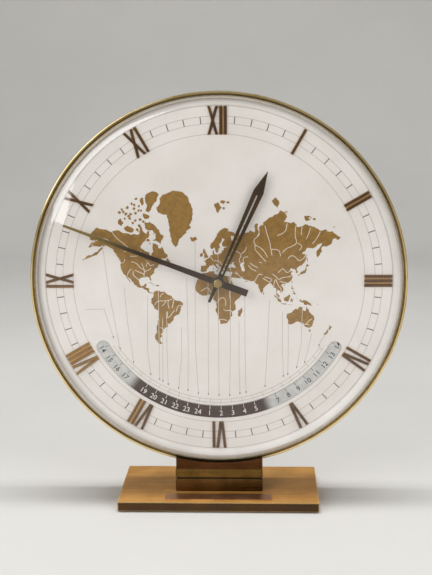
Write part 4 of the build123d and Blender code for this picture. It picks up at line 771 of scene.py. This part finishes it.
# %% Coasts of the islands
ISLANDS = places("""
-44.1,59.7 -48.2,61.5 -50.4,65.5 -52.4,68.7 -53.3,71.6 -55,74.3 -56.5,76.1 -62.9,76.4 -67.3,76.9
-70.8,77.7 -72.3,78.5 -68.6,79.1 -66.3,80 -67.2,80.8 -63.8,81.4 -58.6,81.8 -52.2,82.1 -48.3,82.4
-39.3,82.3 -32.9,82 -27.8,81.4 -25.3,80.4 -22,79.2 -20,77.7 -20.9,75.6 -22.5,73.4 -25.1,72.3 -22.6,71.2
-26.2,70.3 -29.4,69.6 -28.9,68.5 -34.1,67.3 -36.7,65.9 -40.1,64.1 -41.5,61.4; -87.8,80.9 -86.4,81.7
-81.8,82.1 -75.3,82.3 -69.4,82 -68.4,81.4 -70.6,80.4 -74.8,79.7 -77.4,78.8 -79,77.9 -83.2,77.1
-86.8,77.4 -85.7,78.4 -84.6,79.2 -87.1,80; -89.6,80.9 -93.2,81 -94.9,80.1 -91.3,79 -89.2,79.6;
-91.3,76.7 -86.9,76.5 -81.3,75.8 -82.3,75 -89.6,75.1; -61.5,66.6 -64,64.7 -66,62 -68,62.8 -72,64
-78,64.5 -73,65.5 -73,68 -78,70 -84,70 -88.5,71.3 -89,73.4 -81,73.7 -76,72.7 -72,71.5 -68,70 -66.5,68;
-118,71.2 -113,72.2 -106.9,71.2 -103.8,70.2 -107,68.6 -113.2,69.1 -116.8,70; -125.8,74.5 -123.2,75.1
-118.6,73.4 -122.4,71.9 -126.2,72.8; -96,69.4 -99,69.8 -97.5,68.8; -80.5,63.8 -87,63.8 -86,65.4
-83.5,65.3 -81.5,64.4; -149.9,61.1 -155.8,56.8 -165.9,53.3 -178.6,49.4 -178.6,48.7 -165.4,52.2
-154.6,55.8 -147.9,60.2; -166,62.1 -168.7,60.6 -169.3,59.3 -165.6,59.8 -162.4,61.1; -76,67.5 -77,68.3
-75,68.3; -79.5,62 -83.5,62.2 -82,62.9; -59.2,47.7 -57.5,50.2 -55.6,51.5 -55.8,49.8 -53,48.5 -53,46.8
-55.8,47; -123.5,48.4 -125.5,49.1 -128.2,50.7 -125.2,50; -131.5,52.3 -133,54 -132,54; -84.8,22 -82,23.1
-79,22.5 -74.5,20.2 -77.5,19.9 -78,21 -82,22.4; -74.4,18.5 -73,19.9 -70,19.8 -68.5,18.6 -71,18;
-78.3,18.2 -77.3,18.6 -76.3,18.1; -67.2,18.1 -66.5,18.5 -65.7,18.2; -22.5,63.9 -24,65.5 -22.5,66.4
-20,65.8 -16,66.5 -13.6,65 -18.7,63.4; -5.5,50.1 1.4,51.2 1.7,52.7 -0.2,54 -1.8,55.8 -2,57.6 -4,57.7
-3,58.6 -5,58.6 -6.2,56.7 -4.9,54.8 -3,54 -4.7,52.8 -3,51.4 -4.3,51.1; -6.2,53.4 -6.4,52.2 -10.2,51.6
-10,54.2 -7.3,55.3 -5.6,54.6; 15.5,76.8 13,78 11,79.6 16,79.9 18.5,79.2 21.5,78.5 17.5,77.6; 18.5,79.9
21,80.4 27,80.1 24,79.4; 51.5,71.5 56,73.3 58,75.6 68.5,76.9 66,76.2 60,75 58,73 57,70.8; 95,79.2
92,80.3 97,81 103,79.4 100,78.4; 138,75.8 141,73.9 149,75.2 144,75.9; 179,71 182,71.5 179.5,71.5;
142,54.3 143.5,49.2 142.5,46.2 142,49.5 142,52.5 142.6,54.2; 140,41.6 143.2,42.2 145.4,43.3 142,45.4
141.2,43.3; 141.3,41.4 142,39.5 140.8,36 138.6,34.7 135.7,33.6 131,34.2 133,35.5 136.8,37.4 139.5,38.5
140,40.5; 131,31.3 130.2,31.4 129.8,33 131.8,33.6; 132.5,33 134.3,33.6 133.5,34.3; 120.2,22.8 121,22.2
121.9,25 121,25; 108.7,19 110.5,18.6 111,20 109.5,20; 120.3,14 120.4,16.2 120.9,18.5 122.2,18.3 121.6,16
124,13 122,13.8; 122,7 123.4,8.6 125.5,9.6 126.5,7.3 125.4,5.9 124,7; 122,10.6 123.3,9.3 124.8,10.8
123,11.5; 109,1.5 109.7,-1 110.3,-2.9 114.5,-4 116.3,-3.4 117.8,0.9 119,5 116.8,6.8 113,3.2 111,1.8;
95.4,5.5 97.5,5.2 100.5,2.2 103.5,0 106,-3 105.6,-5.8 102.3,-4 98.7,1.6; 105.2,-6.8 108.5,-6.7
112.7,-6.9 114.4,-7.9 111,-8.2 106.5,-7.4; 115,-8.3 119,-8.4 122.8,-8.3 119,-8.9; 124,-9.8 127,-8.5
124.5,-9.2; 119.6,-5.4 120.4,-3 121.8,-4.8 122.8,-3.5 121.4,-1.9 123.3,-0.9 120.2,0.6 124.8,1.4
120.5,1.2 119.8,0 119,-3.3; 127.5,0.5 128.2,2 128.2,0.2; 128,-3.3 130.6,-3.2 129,-3; 131,-0.8 134,-0.8
135,-3.3 138,-1.7 141,-2.7 145.8,-5.3 147.5,-6.2 150.5,-10.4 147,-9.6 144,-7.7 141,-9 138.5,-8.3
137.8,-5.4 133,-4; 148.5,-5.7 151,-5.5 152,-4.2 150.5,-6; 155,-6 156,-6.7 160,-9.5 157,-7.3; 144.7,-40.8
148.3,-40.9 147.8,-43.2 146,-43.4; 172.8,-34.5 175.3,-36.6 178.5,-37.7 177,-39.5 175.2,-41.6 173.8,-39.3
175,-38; 172.7,-40.6 174.2,-41.6 172.8,-43.6 170.6,-46 168.4,-46.6 166.6,-46 170.5,-43; 49.3,-12
50.4,-15.7 47.5,-24.8 45,-25.5 43.3,-22 44.4,-19.8 44,-17 47,-15.2; 79.9,9.6 81.8,7.5 80.6,6 79.8,7.3;
8.5,39.2 9.6,39.3 9.5,41 8.4,40.8; 8.6,42 9.4,41.6 9.4,42.9; 12.5,38 15.3,38.2 15.1,36.8; 23.6,35.4
26.2,35.1 24,35; 32.4,34.8 34.4,35.5 33.4,34.7; -60.8,-51.5 -57.9,-51.6 -59.5,-52.2; 165,-21 167,-22.3
164.3,-20.5
""")
print(len(ISLANDS), "islands")

# %% Lay the coasts on the dial
MAP_RIGHT = -7.7       # where the prime meridian and the equator cross, from the dial's centre
MAP_UP = -12.7
MAP_SCALE = 27.7       # millimetres for a radian of longitude
COAST_STEP = 1.2       # the longest straight stretch that is left
COAST_ROUGH = 0.16     # how far its middle may move, as a share of the stretch
BARE_R = 3.25          # the print stops this far from the centre, round the hole for the hands' arbors
dice = random.Random(24)


def mercator(east, north):
    up = math.log(math.tan(math.pi / 4 + math.radians(north) / 2))
    return MAP_RIGHT + MAP_SCALE * math.radians(east), MAP_UP + MAP_SCALE * up


def ragged(points):
    """Break every stretch at its middle, a little to the side, until it is short."""
    rough = []
    for one, two in zip(points, points[1:] + points[:1]):
        stretch = [one, two]
        while math.dist(stretch[0], stretch[1]) > COAST_STEP:
            finer = [stretch[0]]
            for a, b in zip(stretch, stretch[1:]):
                side = dice.uniform(-COAST_ROUGH, COAST_ROUGH)
                right = (a[0] + b[0]) / 2 - side * (b[1] - a[1])
                up = (a[1] + b[1]) / 2 + side * (b[0] - a[0])
                finer += [(right, up), b]
            stretch = finer
        rough += stretch[:-1]
    return rough


def clear_of_bore(point):
    """Keep a coast a little outside the bare circle, so that the circle stays a hole in the land."""
    reach = math.hypot(*point)
    push = max(1.0, (BARE_R + 0.2) / reach)
    return point[0] * push, point[1] * push


# Crumbs of land in the ice of the far north, too small to have a shape of their own
ICE_ISLETS = places("""
-99.9,80.8 -103.2,79.3 -113.1,78.6 -106.5,79.5 -96.5,78.9 -120.4,78 -124.3,77.1 -114.5,76.6 -102.8,78.2
-101.8,76.9 -97.1,77.7 -117.2,75 -111.2,75.9 -105.7,73.3 -96.5,71.9 -102,74.2 -95.3,74.7 -118.4,77.2
-108.1,76.6 -93,77.7 -109.2,75 -99.1,70.4 -90.2,73.9 24,78.3 30,79.9 112,76.9 146,75.2 152,74.6
""")[0]


def islet(east, north):
    """A crumb of five corners, 1 to 3 mm across."""
    right, up = mercator(east, north)
    turn = dice.uniform(0, 72)
    corners = []
    for k in range(5):
        reach = dice.uniform(0.6, 1.5)
        way = math.radians(turn + 72 * k)
        corners.append((right + reach * math.cos(way), up + reach * math.sin(way)))
    return corners


def printed_shapes(name, loops, back, front):
    """Closed outlines of the dial plane as one thin mesh; an outline inside another is a hole."""
    flat = bpy.data.curves.new(name, "CURVE")
    flat.dimensions = "2D"
    flat.fill_mode = "BOTH"
    flat.extrude = (back - front) / 2 * MM
    for loop in loops:
        spline = flat.splines.new("POLY")
        spline.points.add(len(loop) - 1)
        for point, (right, up) in zip(spline.points, loop):
            point.co = (right * MM, up * MM, 0, 1)
        spline.use_cyclic_u = True
    mesh = frozen(placed(name, flat))
    upright = Matrix.Rotation(math.pi / 2, 4, "X")
    mesh.transform(Matrix.Translation(on_dial(0, 0, (back + front) / 2)) @ upright)
    bm = bmesh.new()
    bm.from_mesh(mesh)
    bmesh.ops.remove_doubles(bm, verts=bm.verts, dist=0.0005 * MM)
    return bm


GOLD_INK = ink("gold ochre map ink", "#9C742A", 0.42, 0.3, "#876322")
LANDS = NORTH_AMERICA + SOUTH_AMERICA + AFRICA + EURASIA + AUSTRALIA + CASPIAN_SEA + ISLANDS
coasts = [[clear_of_bore(p) for p in ragged([mercator(*p) for p in loop])] for loop in LANDS]
coasts += [islet(*place) for place in ICE_ISLETS] + [arc(BARE_R, step=10)]
finished("map_land", printed_shapes("map_land", coasts, DIAL_FACE, DIAL_FACE - INK), GOLD_INK, "case")

# %% [markdown]
# Rivers are left out of the gold ink, so the white of the dial runs through the land. Cutting each
# one out of the land's outline would be slow and fragile; a second layer of white ink does the same.

# %% Rivers
RIVERS = places("""
-164,62.5 -157,64.6 -147,65.8 -139,64 -135,61.5; -135,69 -130,66 -124,64 -116,61 -111,58.5 -118,56;
-90,29.5 -91,33 -89.5,37 -91,41 -94,46; -89.5,37 -84,38.5 -80,41; -90.5,39 -96,41 -101,46 -109,47.5;
-91,34 -97,36 -104,38.5; -97.5,26 -102,29.5 -106.5,33 -106,37; -114.7,32 -113,36.5 -109,40; -124,46
-119,46.5 -118,50; -94.5,57 -97,53.5 -101,52.5 -110,52.5; -88,48.5 -84,46.5 -82.5,43 -76,44.5; -87,42
-87,45.5 -84,46; -50.5,-0.3 -56,-2.3 -60,-3 -67,-3 -73,-4 -76,-9; -60,-3 -61,-6.5 -65,-10.5; -62,8.7
-66,6.5 -67.5,3; -48.5,-1.2 -49,-6 -51,-13; -56,-2.3 -57,-8 -55,-14; -58.5,-33.8 -59.5,-29 -57.5,-23
-57.5,-18; -59,-27 -54.5,-25.5 -51,-20.5 -47,-17; -36.5,-10.4 -41,-9 -43.5,-13 -44.8,-18; -63,-41
-68,-38.8; 31,31 31,27 32.8,24 31,19 33.5,17.5 32.5,14 31.5,9 32,3 33,0; 32.7,15.6 35,12 37.5,11.5;
12.5,-6 16,-3 18,0.5 22,2 25.5,0 26.5,-5 26,-10; 6,4.6 6.5,8 4,11.5 0.5,16.5 -4,14.5 -9,11; 36,-18.7
32,-16 27,-17.7 23,-15; 17,-28.6 21,-28.5 24.5,-29.2 28,-30.3; 4.5,52 7,50.5 8.3,48; 29,45 24,43.8 20,45
18.5,47.8 10,48.5; 32.5,46.7 34.5,49 31,51 31,54.5; 47.5,46 45,49 49.5,53.5 44,56.3 36,57; 51.5,47
51.5,51.3 58.5,52; 49,54.5 55,57 56,60; 40,64.5 46,61 40,59; 72,66.5 66,64.5 68.5,61 76,59.5 83,55.5
86,51.5; 68.5,61 68,58 73,55 80,50 84,47.5; 82.5,72 86,67 89.5,63 91,58 92.5,53; 91,58 98,58 103,57
105,52.5; 126.5,72.3 124.5,67 129,62.5 120,60 112,58.5 107,55; 129,62.5 136,60.5 131,57; 161,69.2 157,66
150,62; 147,71 144,67.5 141,65; 135,71.3 134,67.5; 114,73 112,69 100,67; 140.5,53 136,49.5 130.5,47.7
125,52.5 119,53 115,50; 119,37.7 113.5,35 110.5,38.5 108,40.5 104,37.5 101,35.5; 121,31.8 115,30
108.5,30 102,26.5 98,31 93,34; 113.5,22.8 108,23.5 103.5,25; 106,10.3 105.5,15 101,19 98.5,27; 95.2,16.5
95.3,22 97.5,27; 90.3,23 85,25.7 79.5,28.5; 90,24 93,27 88,29.3 82,30.3; 67.6,24.3 70.5,29 73.5,34
79,33; 48,30 44.5,33 41,36.5; 44.5,33 39,35.5; 59,43.5 63.5,39.5 70,37.3; 61.5,46 67,43 73,41; 74.5,46.5
78,46.5; 139,-35.3 142,-34.2 146.5,-36; 142,-34.2 146,-30 150,-28
""")
RIVER_W = 0.42


def softened(points, rounds=2):
    """Cut the corners of an open line again and again, so that it bends as a river does."""
    for _ in range(rounds):
        cut = [points[0]]
        for a, b in zip(points, points[1:]):
            cut.append((a[0] * 0.75 + b[0] * 0.25, a[1] * 0.75 + b[1] * 0.25))
            cut.append((a[0] * 0.25 + b[0] * 0.75, a[1] * 0.25 + b[1] * 0.75))
        points = cut + [points[-1]]
    return points


PALE_INK = ink("white river ink", "#E6DDD0", shade="#DCD2C2")
rivers = bmesh.new()
for course in RIVERS:
    band(rivers, softened([mercator(*p) for p in course]), RIVER_W, DIAL_FACE, DIAL_FACE - 2 * INK)
finished("map_rivers", rivers, PALE_INK, "case")

# %% [markdown]
# From places on the map thin lines lead down to the scale above the window, one for each time zone
# that the clock tells. A line is grey on the white ground and left white where it crosses land, so
# each one is walked in short steps and asked at every step whether it stands on land.

# %% Time zone lines
ZONE_LINES = places("""
-93.2,-20.2 -79.7,-20.1 -73.5,-40.6; -79.9,23.9 -76,-8.8 -70.8,-38.5 -69,-48.8; -65.6,-4.2 -63.6,-29
-61,-47.7 -59.8,-58.5; -49.3,-10 -49.8,-49.2 -47.9,-67.2; -41.7,-6.5 -41.7,-70.8; -39,-26.3 -39.4,-72.2;
-36.2,-22 -36.2,-49.1 -35.7,-74.4; -26,-32.5 -26.2,-56.3 -28.5,-77.2; -21.9,2 -21.3,-45.5 -21.8,-78.7;
-15.9,27.3 -16.4,-45.5 -14.5,-80.8; -7.2,-1.6 -7.4,-81.5; -0.1,21.5 0,-82.2; 8.3,13.1 8.1,-45.5
7.5,-82.2; 14.3,-29.1 14.1,-56.2 14.7,-80.7; 18.2,-6.5 18.3,-45.5 19,-80; 35.4,-13.5 34,-45.4
32.3,-75.6; 44.4,-21.8 44.3,-45.4 45.2,-68.3; 48.4,-30 48.5,-45.4 48.2,-66.9; 58.2,-18.2 57.3,-45.4
54.3,-61.9; 64.7,-36.8 62.2,-48.9 59.8,-58.3; 73.9,-38.2 71.2,-42.5 69.6,-46.1
""")
ZONE_STEP = 0.5
ARROW_L = 1.6
ARROW_W = 1.1
ARROW_OVER = 0.4       # how far the tip runs past the line's end


def on_land(x, y):
    """Odd-even rule: a ray to the right crosses the coasts an odd number of times."""
    inside = False
    for loop in coasts:
        for (x1, y1), (x2, y2) in zip(loop, loop[1:] + loop[:1]):
            if (y1 > y) != (y2 > y) and x < x1 + (y - y1) / (y2 - y1) * (x2 - x1):
                inside = not inside
    return inside


def walked(a, b):
    """Points from a to b, in short steps."""
    count = max(1, round(math.dist(a, b) / ZONE_STEP))
    return [a] + [(a[0] + (b[0] - a[0]) * i / count, a[1] + (b[1] - a[1]) * i / count)
                  for i in range(1, count + 1)]


def runs(walk):
    """Split a walk where the ground changes, as (is land, (first point, last point))."""
    stretches = []
    for point in walk:
        land = on_land(*point)
        if not stretches or stretches[-1][0] != land:
            start = [stretches[-1][1][-1]] if stretches else []
            stretches.append((land, start))
        stretches[-1][1].append(point)
    return [(land, (part[0], part[-1])) for land, part in stretches if len(part) > 1]


on_white, over_land, arrows = bmesh.new(), bmesh.new(), bmesh.new()
for line in ZONE_LINES:
    for a, b in zip(line, line[1:]):
        for land, stretch in runs(walked(a, b)):
            if math.hypot(*(Vector(stretch[0]) + Vector(stretch[1])) / 2) < BARE_R / 2:
                continue          # nothing is printed over the hole in the middle
            front = DIAL_FACE - (2 if land else 1) * INK
            band(over_land if land else on_white, stretch, FINE_W, DIAL_FACE, front)
    tip, run = Vector(line[-1]), (Vector(line[-1]) - Vector(line[-2])).normalized()
    side = Vector((-run.y, run.x)) * ARROW_W / 2
    tail = tip - run * (ARROW_L - ARROW_OVER)
    head = [tip + run * ARROW_OVER, tail + side, tail - side]
    faces = [[arrows.verts.new(on_dial(p.x, p.y, depth)) for p in head]
             for depth in (DIAL_FACE - INK, DIAL_FACE)]
    arrows.faces.new(faces[0])
    arrows.faces.new(faces[1][::-1])
    for k in range(3):
        arrows.faces.new((faces[0][k], faces[1][k], faces[1][(k + 1) % 3], faces[0][(k + 1) % 3]))
finished("zone_lines", on_white, GREY_INK, "case")
finished("zone_lines_on_land", over_land, PALE_INK, "case")
finished("zone_arrows", arrows, DARK_INK, "case")

# %% [markdown]
# Everything stands on a pale floor that curves up into a backdrop, so no horizon cuts behind the
# clock. It is only a stage.

# %% Floor and backdrop
def backdrop():
    material, tree, shader = new_material("pale studio paper", Roughness=0.85)
    grain = blotches(tree, (0.6, 0.6, 0.6), 3.0)
    tone = clouded(tree, blotches(tree, (260, 260, 260)), "#BFBEBC", "#BAB9B7")
    tree.links.new(tone, shader.inputs["Base Color"])
    bumped(tree, shader, grain, 0.02)
    bm = bmesh.new()
    front, rear, height, half_width = -2.2, 1.1, 2.6, 3.0
    bend, steps = 0.6, 24
    profile = [(front, 0.0), (rear, 0.0)]
    for i in range(1, steps + 1):
        turn = math.radians(90 * i / steps)
        profile.append((rear + bend * math.sin(turn), bend - bend * math.cos(turn)))
    profile.append((rear + bend, height))
    rows = [[bm.verts.new((x, y, z)) for x in (-half_width, half_width)] for y, z in profile]
    for one, two in zip(rows, rows[1:]):
        bm.faces.new((one[0], one[1], two[1], two[0]))
    mesh = bpy.data.meshes.new("backdrop")
    bm.to_mesh(mesh)
    mesh.materials.append(material)
    for face in mesh.polygons:
        face.use_smooth = True
    placed("backdrop", mesh)


backdrop()
print("the stage is set")

# %% [markdown]
# A large soft lamp at the left gives the form and the white reflection on the glass. A wide one at
# the right lifts the shadows and a narrow one overhead lights the foot's top; neither may show as a
# bright bar in polished brass and glass. The room is a plain grey, a little darker in front.

# %% Lamps and the room
def softbox(name, place, aim, width, height, power, roll=0.0):
    lamp = bpy.data.lights.new(name, "AREA")
    lamp.shape = "RECTANGLE"
    lamp.size, lamp.size_y = width, height
    lamp.energy = power
    box = placed(name, lamp)
    box.location = place
    box.visible_camera = False
    turn = (Vector(aim) - Vector(place)).to_track_quat("-Z", "Y").to_matrix()
    box.rotation_euler = (turn @ Matrix.Rotation(math.radians(roll), 3, "Z")).to_euler()
    return box


dial_middle = tuple(on_dial(0, 0, DIAL_FACE))
softbox("key", (-0.758, -0.858, 0.751), (-0.013, -0.191, 0.751), 1.17, 0.90, 10.5, roll=-20)
softbox("fill", (1.2, -1.2, 0.6), dial_middle, 1.4, 1.4, 15).visible_glossy = False
softbox("top", (0.0, 0.0, 1.6), (0, 0, 0), 1.3, 0.16, 24).visible_glossy = False

world = bpy.data.worlds.new("studio")
bpy.context.scene.world = world
world.use_nodes = True
room = world.node_tree
room.nodes.clear()
way = add(room, "ShaderNodeTexCoord").outputs["Generated"]
rearward = add(room, "ShaderNodeSeparateXYZ", inputs={0: way}).outputs[1]
grey = mixed(room, remap(room, rearward, -0.8, 0.3), "#9A9892", "#B5B3AE")
sky = add(room, "ShaderNodeBackground", inputs={"Color": grey, "Strength": 1.0})
add(room, "ShaderNodeOutputWorld", inputs={"Surface": sky.outputs[0]})
print(len(bpy.data.lights), "lamps")

# %% [markdown]
# The camera stands where the photographer's stood: a little above the clock and just to the right
# of its middle, with a long lens, so that the round dial stays nearly round.

# %% Camera
EYE_PLACE = (0.0293, -0.8564, 0.302)
EYE_TURN, EYE_DROP, EYE_ROLL = 2.09, 10.02, -0.36     # degrees to the left, down and about the view
lens = bpy.data.cameras.new("camera")
lens.lens = 77.95
lens.sensor_width = 36.0
eye = placed("camera", lens)
eye.matrix_world = (
    Matrix.Translation(EYE_PLACE)
    @ Matrix.Rotation(math.radians(EYE_TURN), 4, "Z")
    @ Matrix.Rotation(math.radians(90 - EYE_DROP), 4, "X")
    @ Matrix.Rotation(math.radians(EYE_ROLL), 4, "Z")
)
print("the eye stands", round(-EYE_PLACE[1], 2), "m in front of the clock")
bpy.context.scene.camera = eye
bpy.context.scene.view_settings.view_transform = "Standard"
